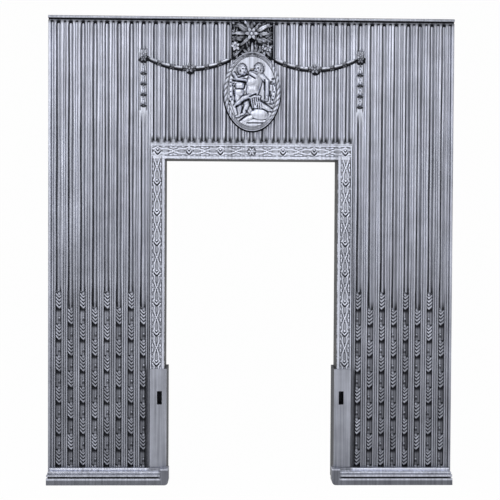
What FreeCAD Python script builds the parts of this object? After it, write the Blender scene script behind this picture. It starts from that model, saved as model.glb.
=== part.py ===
import FreeCAD, Part
import math
import os
import re
import Sketcher

# Front of a cast iron fireplace insert. Millimetres, Z up, the front looks along -Y,
# and the origin lies on the hearth in the middle of the width and the depth.

SIZES = {
    # overall
    "overall_width": 860,
    "overall_height": 990,
    "frieze_height": 270,
    "return_depth": 60,
    "base_projection": 18,
    # fluted panels
    "jamb_width": 216,
    "panel_thickness": 9,
    "return_thickness": 6,
    "bead_height": 6,
    "bead_projection": 3,
    "bead_quirk_height": 3,
    "bead_quirk_depth": 3,
    "joint_quirk_width": 2,
    "joint_quirk_depth": 3,
    # flutes and the rods lying in them
    "flute_width": 13.6,
    "flute_depth": 4.5,
    "rod_width": 7.6,
    "rod_height": 4,
    "jamb_flute_count": 8,
    "frieze_flute_count": 17,
    "edge_margin": 22,
    "inner_margin": 15.5,
    "frieze_margin": 10,
    "flute_head_gap": 2.5,
    "flute_foot_gap": 5,
    "reed_groove_width": 1.6,
    "reed_groove_depth": 1,
    "rim_groove_offset": 6.5,
    "rim_groove_width": 3,
    "rim_groove_depth": 3,
    # border round the opening
    "border_width": 30,
    "border_proud": 2,
    "edge_bead_width": 3.5,
    "edge_bead_height": 1.5,
    "lozenge_width": 15,
    "lozenge_pitch": 64,
    # plain lower lengths of the border
    "slot_plate_height": 210,
    "slot_plate_proud": 3,
    "slot_plate_overlap": 5.5,
    "slot_width": 10.5,
    "slot_height": 28.5,
    "slot_offset": 5.5,
    "slot_centre_height": 182.5,
    "socket_depth": 16,
    "socket_wall": 4,
    # feet
    "plinth_height": 14,
    "plinth_overhang": 10.5,
    "plinth_corner_radius": 8,
    "end_block_width": 17,
    "base_height": 34,
    "base_quirk_height": 2.5,
    "base_quirk_depth": 4,
    "base_top_projection": 6,
    "base_end_inset": 6,
    # medallion, its centre measured from the top of the border
    "medallion_width": 120,
    "medallion_height": 166,
    "medallion_centre_height": 112,
    "medallion_ring_width": 8.5,
    "medallion_ring_height": 6,
    "medallion_bead_inset": 2,
    "medallion_bead_height": 4,
    "plaque_thickness": 5,
    # bouquet
    "bouquet_width": 89,
    "bouquet_height": 79,
    "bouquet_top_gap": 11,
    "bouquet_thickness": 4,
    "flower_radius": 14,
    "flower_height": 12,
    # garlands, rosettes and husk drops, the ends of the garlands measured from the top of the border
    "garland_rope_width": 7,
    "garland_sag": 21.5,
    "garland_end_height": 182,
    "garland_flower_width": 25,
    "garland_flower_height": 9,
    "rosette_width": 18,
    "rosette_height": 8,
    "drop_husk_width": 16,
    "drop_husk_length": 13,
    "drop_husk_pitch": 22.5,
    "drop_husk_count": 4,
    "drop_stem_width": 4,
    "drop_start_gap": 20,
    "drop_field_margin": 9,
    # husk chains in the lower flutes
    "chain_height": 376,
    "chain_pitch": 66.8,
    "chain_husk_length": 40,
    "chain_husk_width": 12,
    "chain_tier_count": 4,
    "chain_stem_width": 6.4,
    "berry_width": 8,
    # straps, angles and fasteners at the back
    "boss_width": 14,
    "boss_height": 8,
    "thread_depth": 2,
    "strap_thickness": 6,
    "strap_offset": 12,
    "strap_margin": 8.5,
    "strap_row_inset": 40,
    "head_strap_span": 260,
    "foot_strap_low": 65,
    "foot_strap_pitch": 70,
    "angle_length": 90,
    "angle_leg": 38,
    "angle_thickness": 5,
    "angle_screw_pitch": 50,
    "screw_width": 6,
    "screw_head_width": 10,
    "screw_head_height": 4,
    "stud_width": 8,
    "stud_pitch": 100,
    "stud_length": 26,
    "nut_width": 13,
    "nut_height": 6.5,
    "rivet_width": 3,
    "rivet_head_width": 6,
    "rivet_head_height": 2,
    "rivet_bite": 2,
    "fixing_hole_width": 9,
    "fixing_hole_pitch": 600,
    "fixing_hole_rise": 195,
    "fit_clearance": 0.3,
}

doc = FreeCAD.newDocument("fireplace_insert_front")
sheet = doc.addObject("Spreadsheet::Sheet", "sizes")
for row, (word, value) in enumerate(SIZES.items(), 1):
    sheet.set(f"A{row}", str(value))
    sheet.setAlias(f"A{row}", word)
doc.recompute()

# Places that several pieces share, as expressions of the sheet's sizes
REAR = "((return_depth + base_projection) / 2)"
FRONT = "((base_projection - return_depth) / 2)"
BASE_FRONT = f"(-1 * {REAR})"
BACK = f"({FRONT} + panel_thickness)"
STRAP_FRONT = f"({BACK} + boss_height)"
HALF = "(overall_width / 2)"
JOINT = "(overall_width / 2 - jamb_width)"
INNER = f"({JOINT} - border_width)"
PLATE_END = f"({INNER} - slot_plate_overlap)"
FOOT_END = f"({INNER} - plinth_overhang)"
BORDER_TOP = "(overall_height - frieze_height)"
OPENING_TOP = f"({BORDER_TOP} - border_width)"
PLATE_TOP = "(base_height + slot_plate_height)"
BEAD_LOW = "(overall_height - bead_height)"
QUIRK_LOW = "(overall_height - bead_height - bead_quirk_height)"
FLUTE_HEAD = f"({QUIRK_LOW} - flute_head_gap)"
FLUTE_FLOOR = f"({FRONT} + flute_depth)"
CHAIN_TOP = "(base_height + chain_height)"
JAMB_PITCH = "((jamb_width - edge_margin - inner_margin) / (jamb_flute_count - 1))"
FRIEZE_PITCH = "((overall_width - 2 * jamb_width - 2 * frieze_margin) / (frieze_flute_count - 1))"
ROSETTE_X = f"({JOINT} + inner_margin)"
MEDALLION_MIDDLE = f"({BORDER_TOP} + medallion_centre_height)"
GARLAND_END = f"({BORDER_TOP} + garland_end_height)"
DROP_TOP = f"({GARLAND_END} - drop_start_gap)"
DROP_LENGTH = "(drop_husk_count * drop_husk_pitch)"
FIELD_TOP = f"({GARLAND_END} + drop_field_margin)"
FIELD_LOW = f"({DROP_TOP} - {DROP_LENGTH})"
BOUQUET_TOP = "(overall_height - bouquet_top_gap)"
ROD_RADIUS = "((rod_width * rod_width / 4 + rod_height * rod_height) / (2 * rod_height))"
STRAP_OUT = f"({JOINT} + strap_offset)"
STRAP_IN = f"({JOINT} - strap_offset)"
JAMB_MIDDLE = f"({HALF} - jamb_width / 2)"
ANGLE_RISE = "(plinth_height + angle_leg - strap_margin)"
BASE_SCREW_HEIGHT = "((plinth_height + base_quirk_height + base_height) / 2)"
HEAD_MIDDLE = f"({OPENING_TOP} + border_width / 2)"
HEAD_STRAP_TOP = f"({BORDER_TOP} + strap_offset)"

STRAP_ROWS = [
    "(overall_height - strap_row_inset)",
    f"({BORDER_TOP} + strap_row_inset)",
    f"({OPENING_TOP} - strap_row_inset)",
    f"({PLATE_TOP} + strap_row_inset)",
]
FOOT_ROWS = ["foot_strap_low", "(foot_strap_low + foot_strap_pitch)"]
BASE_SCREWS = [f"({HALF} - jamb_width * 0.14)", f"({HALF} - jamb_width * 0.86)"]
SIDES = {"left": -1, "right": 1}

pieces = []


def spelled(expression):
    """The expression with every size read from the sheet."""

    def from_sheet(match):
        word = match.group(0)
        return f"sizes.{word}" if word in SIZES else word

    return re.sub(r"[a-z_]+", from_sheet, expression)


def number(expression):
    return float(sheet.evalExpression(spelled(expression)))


def bind(thing, name, expression):
    thing.setExpression(name, spelled(expression))


def keep(thing, label):
    thing.Label = label
    pieces.append(thing)
    return thing


def at(sign, expression):
    """A distance to one side of the middle line."""
    return f"({sign} * {expression})"


class Body:
    """A PartDesign body with its sketches and features."""

    def __init__(self, label):
        self.body = keep(doc.addObject("PartDesign::Body", label), label)
        self.planes = {feature.Role: feature for feature in self.body.Origin.OriginFeatures}
        self.count = 0

    def named(self, word):
        self.count += 1
        return f"{self.body.Name}_{word}_{self.count}"

    def sketch(self, plane, level):
        sketch = self.body.newObject("Sketcher::SketchObject", self.named("sketch"))
        sketch.AttachmentSupport = [(self.planes[plane], "")]
        sketch.MapMode = "FlatFace"
        sign = -1 if plane == "XZ_Plane" else 1
        bind(sketch, "AttachmentOffset.Base.z", f"{sign} * {level}")
        return sketch

    def pin(self, sketch, geometry, end, place):
        """Holds one point of a sketch at a place given by two expressions."""
        for kind, expression in zip(("DistanceX", "DistanceY"), place):
            held = sketch.addConstraint(Sketcher.Constraint(kind, geometry, end, number(expression)))
            bind(sketch, f"Constraints[{held}]", expression)

    def polygon(self, plane, level, corners):
        sketch = self.sketch(plane, level)
        spots = [FreeCAD.Vector(number(x), number(y), 0) for x, y in corners]
        last = len(spots)
        for index in range(last):
            sketch.addGeometry(Part.LineSegment(spots[index], spots[(index + 1) % last]))
        for index in range(last):
            sketch.addConstraint(Sketcher.Constraint("Coincident", index, 2, (index + 1) % last, 1))
        for index, place in enumerate(corners):
            self.pin(sketch, index, 1, place)
        return sketch

    def rectangle(self, plane, level, low, high):
        corners = [low, (high[0], low[1]), high, (low[0], high[1])]
        return self.polygon(plane, level, corners)

    def circles(self, plane, level, width, places):
        sketch = self.sketch(plane, level)
        for index, place in enumerate(places):
            middle = FreeCAD.Vector(number(place[0]), number(place[1]), 0)
            normal = FreeCAD.Vector(0, 0, 1)
            sketch.addGeometry(Part.Circle(middle, normal, number(width) / 2))
            self.pin(sketch, index, 3, place)
            held = sketch.addConstraint(Sketcher.Constraint("Diameter", index, number(width)))
            bind(sketch, f"Constraints[{held}]", width)
        return sketch

    def segment(self, plane, level, start, end, centre):
        """A straight chord closed by an arc of which the centre is given. The arc runs from end to start."""
        sketch = self.sketch(plane, level)
        first = FreeCAD.Vector(number(start[0]), number(start[1]), 0)
        second = FreeCAD.Vector(number(end[0]), number(end[1]), 0)
        middle = FreeCAD.Vector(number(centre[0]), number(centre[1]), 0)
        circle = Part.Circle(middle, FreeCAD.Vector(0, 0, 1), (first - middle).Length)
        from_angle = math.atan2(second.y - middle.y, second.x - middle.x)
        to_angle = math.atan2(first.y - middle.y, first.x - middle.x)
        sketch.addGeometry(Part.LineSegment(first, second))
        sketch.addGeometry(Part.ArcOfCircle(circle, from_angle, to_angle))
        sketch.addConstraint(Sketcher.Constraint("Coincident", 0, 2, 1, 1))
        sketch.addConstraint(Sketcher.Constraint("Coincident", 0, 1, 1, 2))
        self.pin(sketch, 0, 1, start)
        self.pin(sketch, 0, 2, end)
        axis = "DistanceY" if abs(first.y - second.y) < abs(first.x - second.x) else "DistanceX"
        wanted = centre[1] if axis == "DistanceY" else centre[0]
        held = sketch.addConstraint(Sketcher.Constraint(axis, 1, 3, number(wanted)))
        bind(sketch, f"Constraints[{held}]", wanted)
        return sketch

    def slot(self, level, centre, low, high, round_low):
        """The outline of a flute seen from the front: an arched head and a square or arched foot."""
        sketch = self.sketch("XZ_Plane", level)
        left = f"({centre} - flute_width / 2)"
        right = f"({centre} + flute_width / 2)"
        top = f"({high} - flute_width / 2)"
        foot = f"({low} + flute_width / 2)" if round_low else low
        spots = [(left, foot), (left, top), (right, top), (right, foot)]
        a, b, c, d = [FreeCAD.Vector(number(x), number(y), 0) for x, y in spots]
        normal = FreeCAD.Vector(0, 0, 1)
        radius = number("flute_width") / 2
        sketch.addGeometry(Part.LineSegment(a, b))
        sketch.addGeometry(Part.LineSegment(c, d))
        sketch.addGeometry(Part.ArcOfCircle(Part.Circle((b + c) / 2, normal, radius), 0, math.pi))
        if round_low:
            circle = Part.Circle((a + d) / 2, normal, radius)
            sketch.addGeometry(Part.ArcOfCircle(circle, math.pi, 2 * math.pi))
        else:
            sketch.addGeometry(Part.LineSegment(a, d))
        joins = [(0, 2, 2, 2), (1, 1, 2, 1), (0, 1, 3, 1), (1, 2, 3, 2)]
        for join in joins:
            sketch.addConstraint(Sketcher.Constraint("Coincident", *join))
        for geometry, end, place in zip((0, 0, 1, 1), (1, 2, 1, 2), spots):
            self.pin(sketch, geometry, end, place)
        arcs = [(2, top), (3, foot)] if round_low else [(2, top)]
        for geometry, height in arcs:
            held = sketch.addConstraint(Sketcher.Constraint("DistanceY", geometry, 3, number(height)))
            bind(sketch, f"Constraints[{held}]", height)
        return sketch

    def feature(self, kind, sketch, length, reverse):
        feature = self.body.newObject(f"PartDesign::{kind}", self.named(kind.lower()))
        feature.Profile = sketch
        feature.Reversed = reverse
        bind(feature, "Length", length)
        self.body.Tip = feature
        return feature

    def pad(self, sketch, length, reverse=False):
        return self.feature("Pad", sketch, length, reverse)

    def pocket(self, sketch, length, reverse=False):
        return self.feature("Pocket", sketch, length, reverse)

    def repeat(self, originals, axis, pitch, count, reverse=False):
        pattern = self.body.newObject("PartDesign::LinearPattern", self.named("row"))
        pattern.Originals = originals
        pattern.Direction = (self.planes[axis], [""])
        pattern.Reversed = reverse
        self.body.Tip = pattern
        bind(pattern, "Length", f"{pitch} * ({count} - 1)")
        bind(pattern, "Occurrences", count)
        return pattern

    def flute(self, centre, low, high, rod_low, round_low):
        """A flute cut into the front and the rod that lies in it."""
        cut = self.pocket(self.slot(FRONT, centre, low, high, round_low), "flute_depth")
        start = (f"({centre} - rod_width / 2)", FLUTE_FLOOR)
        end = (f"({centre} + rod_width / 2)", FLUTE_FLOOR)
        middle = (centre, f"({FLUTE_FLOOR} - rod_height + {ROD_RADIUS})")
        rod_top = f"({high} - (flute_width - rod_width) / 2)"
        rod = self.pad(self.segment("XY_Plane", rod_low, end, start, middle), f"{rod_top} - {rod_low}")
        return [cut, rod]

    def reed_groove(self, centre, low, high):
        """The fine V groove along the band between two flutes."""
        corners = [
            (f"({centre} - reed_groove_width / 2)", FRONT),
            (f"({centre} + reed_groove_width / 2)", FRONT),
            (centre, f"({FRONT} + reed_groove_depth)"),
        ]
        return self.pocket(self.polygon("XY_Plane", high, corners), f"{high} - {low}")

    def top_edge(self, start, width):
        """The bead along the top, the quirk under it and the return behind it."""
        squares = "(bead_height * bead_height / 4 + bead_projection * bead_projection)"
        radius = f"({squares} / (2 * bead_projection))"
        middle = (f"({FRONT} - bead_projection + {radius})", "(overall_height - bead_height / 2)")
        bead = self.segment("YZ_Plane", start, (FRONT, BEAD_LOW), (FRONT, "overall_height"), middle)
        self.pad(bead, width)
        corner = (REAR, "overall_height")
        flange = self.rectangle("YZ_Plane", start, (BACK, "(overall_height - return_thickness)"), corner)
        self.pad(flange, width)
        end = f"({start} + {width})"
        corner = (f"({FRONT} + bead_quirk_depth)", BEAD_LOW)
        quirk = self.rectangle("YZ_Plane", end, (FRONT, QUIRK_LOW), corner)
        self.pocket(quirk, width)

    def bosses(self, places):
        """Round bosses on the back, each with a blind threaded hole."""
        self.pad(self.circles("XZ_Plane", BACK, "boss_width", places), "boss_height", True)
        holes = self.circles("XZ_Plane", STRAP_FRONT, "(screw_width + fit_clearance)", places)
        self.pocket(holes, "boss_height + thread_depth", True)

    def through_holes(self, width, places):
        self.pocket(self.circles("XZ_Plane", FRONT, width, places), "panel_thickness")


RIVET_HOLE = "(rivet_width + fit_clearance)"
SCREW_HOLE = "(screw_width + fit_clearance)"


def flute_centres(sign):
    """Centres of a jamb's flutes, from the left to the right."""
    count = int(number("jamb_flute_count"))
    order = range(count) if sign < 0 else range(count - 1, -1, -1)
    return [at(sign, f"({HALF} - edge_margin - {index} * {JAMB_PITCH})") for index in order]


def chain_start(column):
    """How far below its top a chain's first husk begins: every second chain is half a pitch lower."""
    return "0" if column % 2 == 0 else "(chain_pitch / 2)"


def chain_rivets(sign):
    """Places of the two rivets that hold each chain, at the thick end of a husk."""
    places = []
    for column, centre in enumerate(flute_centres(sign)):
        for husk in (0, 3):
            drop = f"({chain_start(column)} + {husk} * chain_pitch + chain_husk_length * 0.75)"
            places.append((centre, f"({CHAIN_TOP} - {drop})"))
    return places


def drop_rivets(sign):
    """Places of the rivets of one rosette and of the first and last husk under it."""
    centre = at(sign, ROSETTE_X)
    last = "(drop_husk_count - 1)"
    return [
        (centre, GARLAND_END),
        (centre, f"({DROP_TOP} - drop_husk_length * 0.7)"),
        (centre, f"({DROP_TOP} - {last} * drop_husk_pitch - drop_husk_length * 0.7)"),
    ]


def jamb_bosses(sign):
    places = [(at(sign, STRAP_OUT), row) for row in STRAP_ROWS + FOOT_ROWS]
    return places + [(column, ANGLE_RISE) for column in angle_columns(sign)]


def jamb_panel(side, sign):
    panel = Body(f"{side}_jamb_panel")
    outer = at(sign, HALF)
    corners = [
        (outer, FRONT),
        (at(sign, JOINT), FRONT),
        (at(sign, JOINT), BACK),
        (at(sign, f"({HALF} - return_thickness)"), BACK),
        (at(sign, f"({HALF} - return_thickness)"), REAR),
        (outer, REAR),
    ]
    panel.pad(panel.polygon("XY_Plane", "plinth_height", corners), "overall_height - plinth_height")
    panel.top_edge(outer if sign < 0 else JOINT, "jamb_width")
    # the innermost flute is broken by the plain field behind rosette and husk drop
    inner = at(sign, ROSETTE_X)
    panel.flute(inner, FIELD_TOP, FLUTE_HEAD, f"({FIELD_TOP} + flute_width - rod_width)", True)
    panel.flute(inner, "base_height", FIELD_LOW, CHAIN_TOP, False)
    first = at(sign, f"({HALF} - edge_margin)")
    row = panel.flute(first, "base_height", FLUTE_HEAD, CHAIN_TOP, False)
    reed = at(sign, f"({HALF} - edge_margin - {JAMB_PITCH} / 2)")
    row.append(panel.reed_groove(reed, "base_height", FLUTE_HEAD))
    panel.repeat(row, "X_Axis", JAMB_PITCH, "(jamb_flute_count - 1)", sign > 0)
    # a groove sets the outer rim off from the flutes
    near = f"({HALF} - rim_groove_offset + rim_groove_width / 2)"
    far = f"({HALF} - rim_groove_offset - rim_groove_width / 2)"
    bottom = (at(sign, f"({HALF} - rim_groove_offset)"), f"({FRONT} + rim_groove_depth)")
    rim = [(at(sign, near), FRONT), (at(sign, far), FRONT), bottom]
    panel.pocket(panel.polygon("XY_Plane", FLUTE_HEAD, rim), f"{FLUTE_HEAD} - base_height")
    # a quirk along the joint with the border
    low = (at(sign, f"({JOINT} + joint_quirk_width)"), FRONT)
    high = (at(sign, JOINT), f"({FRONT} + joint_quirk_depth)")
    panel.pocket(panel.rectangle("XY_Plane", FLUTE_HEAD, low, high), f"{FLUTE_HEAD} - base_height")
    panel.bosses(jamb_bosses(sign))
    panel.through_holes(RIVET_HOLE, chain_rivets(sign) + drop_rivets(sign))
    panel.through_holes(SCREW_HOLE, [(at(sign, place), BASE_SCREW_HEIGHT) for place in BASE_SCREWS])
    fixing = [(f"({BACK} + {REAR}) / 2", "fixing_hole_rise")]
    fixing.append((f"({BACK} + {REAR}) / 2", "(fixing_hole_rise + fixing_hole_pitch)"))
    holes = panel.circles("YZ_Plane", outer, "fixing_hole_width", fixing)
    panel.pocket(holes, "return_thickness", sign < 0)


def ring_rivets():
    """Four rivets hold the medallion's ring."""
    across = "((medallion_width - medallion_ring_width) / 2 * 0.7071)"
    along = "((medallion_height - medallion_ring_width) / 2 * 0.7071)"
    places = []
    for sx in (-1, 1):
        for sz in (-1, 1):
            places.append((at(sx, across), f"({MEDALLION_MIDDLE} + {sz} * {along})"))
    return places


def garland_span():
    """Half of a garland's span and the place of its middle."""
    outer = f"({ROSETTE_X} - rosette_width / 2)"
    inner = "(bouquet_width / 2)"
    return f"(({outer} - {inner}) / 2)", f"(({outer} + {inner}) / 2)"


GARLAND_HALF, GARLAND_MIDDLE = garland_span()
GARLAND_RADIUS = f"(({GARLAND_HALF} * {GARLAND_HALF} + garland_sag * garland_sag) / (2 * garland_sag))"
GARLAND_LOW = f"({GARLAND_END} - garland_sag)"


def garland_rivets(sign):
    """One rivet behind the middle flower and one towards each end."""
    places = []
    for share in (-0.7, 0, 0.7):
        reach = f"({share} * {GARLAND_HALF})"
        fall = f"({GARLAND_RADIUS} - sqrt({GARLAND_RADIUS} * {GARLAND_RADIUS} - {reach} * {reach}))"
        places.append((at(sign, f"({GARLAND_MIDDLE} + {reach})"), f"({GARLAND_LOW} + {fall})"))
    return places


def bouquet_rivets():
    height = f"({BOUQUET_TOP} - bouquet_height * 0.3)"
    return [(at(sign, "(bouquet_width * 0.3)"), height) for sign in SIDES.values()]


def head_strap_columns():
    return [f"({share} * head_strap_span)" for share in ("-0.5", "0", "0.5")]


def frieze_panel():
    panel = Body("frieze_panel")
    corners = [(at(-1, JOINT), FRONT), (JOINT, FRONT), (JOINT, BACK), (at(-1, JOINT), BACK)]
    panel.pad(panel.polygon("XY_Plane", BORDER_TOP, corners), f"overall_height - {BORDER_TOP}")
    panel.top_edge(at(-1, JOINT), f"2 * {JOINT}")
    low = f"({BORDER_TOP} + flute_foot_gap)"
    first = f"(frieze_margin - {JOINT})"
    rod_low = f"({low} + (flute_width - rod_width) / 2)"
    row = panel.flute(first, low, FLUTE_HEAD, rod_low, True)
    panel.repeat(row, "X_Axis", FRIEZE_PITCH, "frieze_flute_count")
    groove = panel.reed_groove(f"({first} + {FRIEZE_PITCH} / 2)", low, FLUTE_HEAD)
    panel.repeat([groove], "X_Axis", FRIEZE_PITCH, "(frieze_flute_count - 1)")
    places = [(at(sign, STRAP_IN), row) for sign in SIDES.values() for row in STRAP_ROWS[:2]]
    places += [(column, HEAD_STRAP_TOP) for column in head_strap_columns()]
    panel.bosses(places)
    rivets = ring_rivets() + bouquet_rivets() + garland_rivets(-1) + garland_rivets(1)
    panel.through_holes(RIVET_HOLE, rivets)
    panel.through_holes("(stud_width + fit_clearance)", medallion_studs())


def medallion_studs():
    return [("0", f"({MEDALLION_MIDDLE} + {half} * stud_pitch)") for half in ("-0.5", "0.5")]


BORDER_FRONT = f"({FRONT} - border_proud)"
BORDER_FIELD = f"({BORDER_FRONT} + edge_bead_height)"


def lozenge(body, centre, height):
    """A raised diamond in the field of the border."""
    half = "lozenge_width / 2"
    corners = [
        (f"({centre} - {half})", height),
        (centre, f"({height} - {half})"),
        (f"({centre} + {half})", height),
        (centre, f"({height} + {half})"),
    ]
    return body.pad(body.polygon("XZ_Plane", BORDER_FIELD, corners), "edge_bead_height")


def border_stile(side, sign):
    stile = Body(f"{side}_border_stile")
    corners = [
        (JOINT, BORDER_FRONT),
        (f"({JOINT} - edge_bead_width)", BORDER_FRONT),
        (f"({JOINT} - edge_bead_width)", BORDER_FIELD),
        (f"({INNER} + edge_bead_width)", BORDER_FIELD),
        (f"({INNER} + edge_bead_width)", BORDER_FRONT),
        (INNER, BORDER_FRONT),
        (INNER, REAR),
        (f"({INNER} + return_thickness)", REAR),
        (f"({INNER} + return_thickness)", BACK),
        (JOINT, BACK),
    ]
    corners = [(at(sign, x), y) for x, y in corners]
    stile.pad(stile.polygon("XY_Plane", PLATE_TOP, corners), f"{OPENING_TOP} - {PLATE_TOP}")
    centre = at(sign, f"(({JOINT} + {INNER}) / 2)")
    diamond = lozenge(stile, centre, f"({OPENING_TOP} - lozenge_pitch + border_width / 2)")
    count = f"floor(({OPENING_TOP} - {PLATE_TOP} - lozenge_width) / lozenge_pitch)"
    stile.repeat([diamond], "Z_Axis", "lozenge_pitch", count, True)
    stile.bosses([(at(sign, STRAP_IN), row) for row in STRAP_ROWS[2:]])


def border_head():
    head = Body("border_head")
    face = [
        (BORDER_FRONT, BORDER_TOP),
        (BORDER_FRONT, f"({BORDER_TOP} - edge_bead_width)"),
        (BORDER_FIELD, f"({BORDER_TOP} - edge_bead_width)"),
        (BORDER_FIELD, f"({OPENING_TOP} + edge_bead_width)"),
        (BORDER_FRONT, f"({OPENING_TOP} + edge_bead_width)"),
        (BORDER_FRONT, OPENING_TOP),
        (BACK, OPENING_TOP),
        (BACK, BORDER_TOP),
    ]
    head.pad(head.polygon("YZ_Plane", at(-1, JOINT), face), f"2 * {JOINT}")
    end = f"({INNER} + return_thickness)"
    corner = (REAR, f"({OPENING_TOP} + return_thickness)")
    inner_return = head.rectangle("YZ_Plane", at(-1, end), (BACK, OPENING_TOP), corner)
    head.pad(inner_return, f"2 * {end}")
    # the diamonds are spread evenly from corner to corner
    reach = f"(({JOINT} + {INNER}) / 2)"
    spaces = f"round(2 * {reach} / lozenge_pitch)"
    diamond = lozenge(head, at(-1, reach), HEAD_MIDDLE)
    head.repeat([diamond], "X_Axis", f"(2 * {reach} / {spaces})", f"({spaces} + 1)")
    places = [(at(sign, STRAP_IN), HEAD_MIDDLE) for sign in SIDES.values()]
    head.bosses(places + [(column, HEAD_MIDDLE) for column in head_strap_columns()])


def slot_plate(side, sign):
    plate = Body(f"{side}_slot_plate")
    front = f"({FRONT} - slot_plate_proud)"
    corners = [
        (JOINT, front),
        (PLATE_END, front),
        (PLATE_END, REAR),
        (f"({PLATE_END} + return_thickness)", REAR),
        (f"({PLATE_END} + return_thickness)", BACK),
        (JOINT, BACK),
    ]
    corners = [(at(sign, x), y) for x, y in corners]
    plate.pad(plate.polygon("XY_Plane", "base_height", corners), "slot_plate_height")
    plate.bosses([(at(sign, STRAP_IN), row) for row in FOOT_ROWS])
    centre = f"(({JOINT} + {INNER}) / 2 - slot_offset)"

    def round_slot(level, margin):
        """A rectangle that keeps a margin round the slot."""
        across = f"(slot_width / 2 + {margin})"
        rise = f"(slot_height / 2 + {margin})"
        low = (at(sign, f"({centre} - {across})"), f"(slot_centre_height - {rise})")
        high = (at(sign, f"({centre} + {across})"), f"(slot_centre_height + {rise})")
        return plate.rectangle("XZ_Plane", level, low, high)

    # a closed socket behind the slot takes the hook that goes in
    plate.pad(round_slot(BACK, "socket_wall"), "socket_depth + socket_wall", True)
    plate.pocket(round_slot(front, 0), "panel_thickness + slot_plate_proud + socket_depth")


def plinth(side, sign):
    """The plain foot. Only its front part reaches past the slot plate above it."""
    foot = Body(f"{side}_plinth")
    ends = (at(sign, HALF), at(sign, FOOT_END))
    foot.pad(foot.rectangle("XY_Plane", "0", (ends[0], BASE_FRONT), (ends[1], REAR)), "plinth_height")
    block_start = at(sign, f"({FOOT_END} + end_block_width)")
    block = [
        (at(sign, JOINT), FRONT),
        (block_start, FRONT),
        (block_start, BASE_FRONT),
        (ends[1], BASE_FRONT),
        (ends[1], REAR),
        (at(sign, JOINT), REAR),
    ]
    foot.pad(foot.polygon("XY_Plane", "plinth_height", block), "base_height - plinth_height")
    screw_depth = f"({STRAP_FRONT} + angle_leg - strap_margin)"
    places = [(column, screw_depth) for column in angle_columns(sign)]
    holes = foot.circles("XY_Plane", "plinth_height", SCREW_HOLE, places)
    foot.pocket(holes, "plinth_height * 0.75")
    doc.recompute()
    # the lower corner at the opening is rounded
    tip = foot.body.Tip
    corner = FreeCAD.Vector(number(ends[1]), 0, 0)
    names = []
    for index, edge in enumerate(tip.Shape.Edges, 1):
        middle = edge.CenterOfMass
        if abs(middle.x - corner.x) < 0.01 and abs(middle.z) < 0.01:
            names.append(f"Edge{index}")
    rounding = foot.body.newObject("PartDesign::Fillet", foot.named("fillet"))
    rounding.Base = (tip, names)
    bind(rounding, "Radius", "plinth_corner_radius")
    foot.body.Tip = rounding
    doc.recompute()
    behind = foot.rectangle("XY_Plane", "base_height", (ends[1], BACK), (at(sign, PLATE_END), REAR))
    foot.pocket(behind, "base_height")


def base_moulding(side, sign):
    """A stepped and sloping moulding above a quirk, bevelled at its outer end."""
    moulding = Body(f"{side}_base_moulding")
    low = "plinth_height"
    quirk = f"({low} + base_quirk_height)"
    full = "(base_projection - base_quirk_depth / 2)"
    rise = f"(base_height - {quirk})"
    profile = [
        (FRONT, low),
        (f"({FRONT} - {full} + base_quirk_depth)", low),
        (f"({FRONT} - {full} + base_quirk_depth)", quirk),
        (f"({FRONT} - {full})", quirk),
        (f"({FRONT} - {full})", f"({quirk} + {rise} * 0.28)"),
        (f"({FRONT} - {full} + 1)", f"({quirk} + {rise} * 0.34)"),
        (f"({FRONT} - base_top_projection - 1)", f"({quirk} + {rise} * 0.72)"),
        (f"({FRONT} - base_top_projection)", f"({quirk} + {rise} * 0.78)"),
        (f"({FRONT} - base_top_projection)", "base_height"),
        (FRONT, "base_height"),
    ]
    inner = f"({FOOT_END} + end_block_width)"
    start = at(-1, HALF) if sign < 0 else inner
    moulding.pad(moulding.polygon("YZ_Plane", start, profile), f"{HALF} - {inner}")
    wedge = [
        (at(sign, HALF), quirk),
        (at(sign, HALF), "base_height"),
        (at(sign, f"({HALF} - base_end_inset)"), "base_height"),
    ]
    moulding.pocket(moulding.polygon("XZ_Plane", BASE_FRONT, wedge), "base_projection")
    places = [(at(sign, place), BASE_SCREW_HEIGHT) for place in BASE_SCREWS]
    holes = moulding.circles("XZ_Plane", FRONT, SCREW_HOLE, places)
    moulding.pocket(holes, "base_top_projection * 0.7", True)


def primitive(kind, name, values, place=None, turn=None):
    """A Part primitive with its sizes and its place bound to the sheet."""
    thing = doc.addObject(f"Part::{kind}", name)
    if turn is not None:
        axis, angle = turn
        thing.Placement = FreeCAD.Placement(FreeCAD.Vector(), FreeCAD.Rotation(FreeCAD.Vector(*axis), angle))
    for word, expression in values.items():
        bind(thing, word, expression)
    for axis, expression in zip("xyz", place or ()):
        bind(thing, f"Placement.Base.{axis}", expression)
    return thing


def joined(kind, name, shapes):
    thing = doc.addObject(f"Part::{kind}", name)
    if kind == "MultiFuse":
        thing.Shapes = shapes
    else:
        thing.Base, thing.Tool = shapes
    return thing


def oval(name, width, height, rear, thickness):
    """An upright oval plate. Its rear face lies at the given depth and it grows towards the front."""
    radii = {"MajorRadius": f"{height} / 2", "MinorRadius": f"{width} / 2"}
    edge = primitive("Ellipse", f"{name}_edge", radii)
    up = FreeCAD.Vector(0, 0, 1)
    forward = FreeCAD.Vector(0, -1, 0)
    upright = FreeCAD.Rotation(up, FreeCAD.Vector(), forward, "XZY")
    edge.Placement = FreeCAD.Placement(FreeCAD.Vector(), upright)
    bind(edge, "Placement.Base.y", rear)
    bind(edge, "Placement.Base.z", MEDALLION_MIDDLE)
    plate = doc.addObject("Part::Extrusion", name)
    plate.Base = edge
    plate.DirMode = "Custom"
    plate.Dir = forward
    plate.Solid = True
    bind(plate, "LengthFwd", thickness)
    return plate


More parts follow.
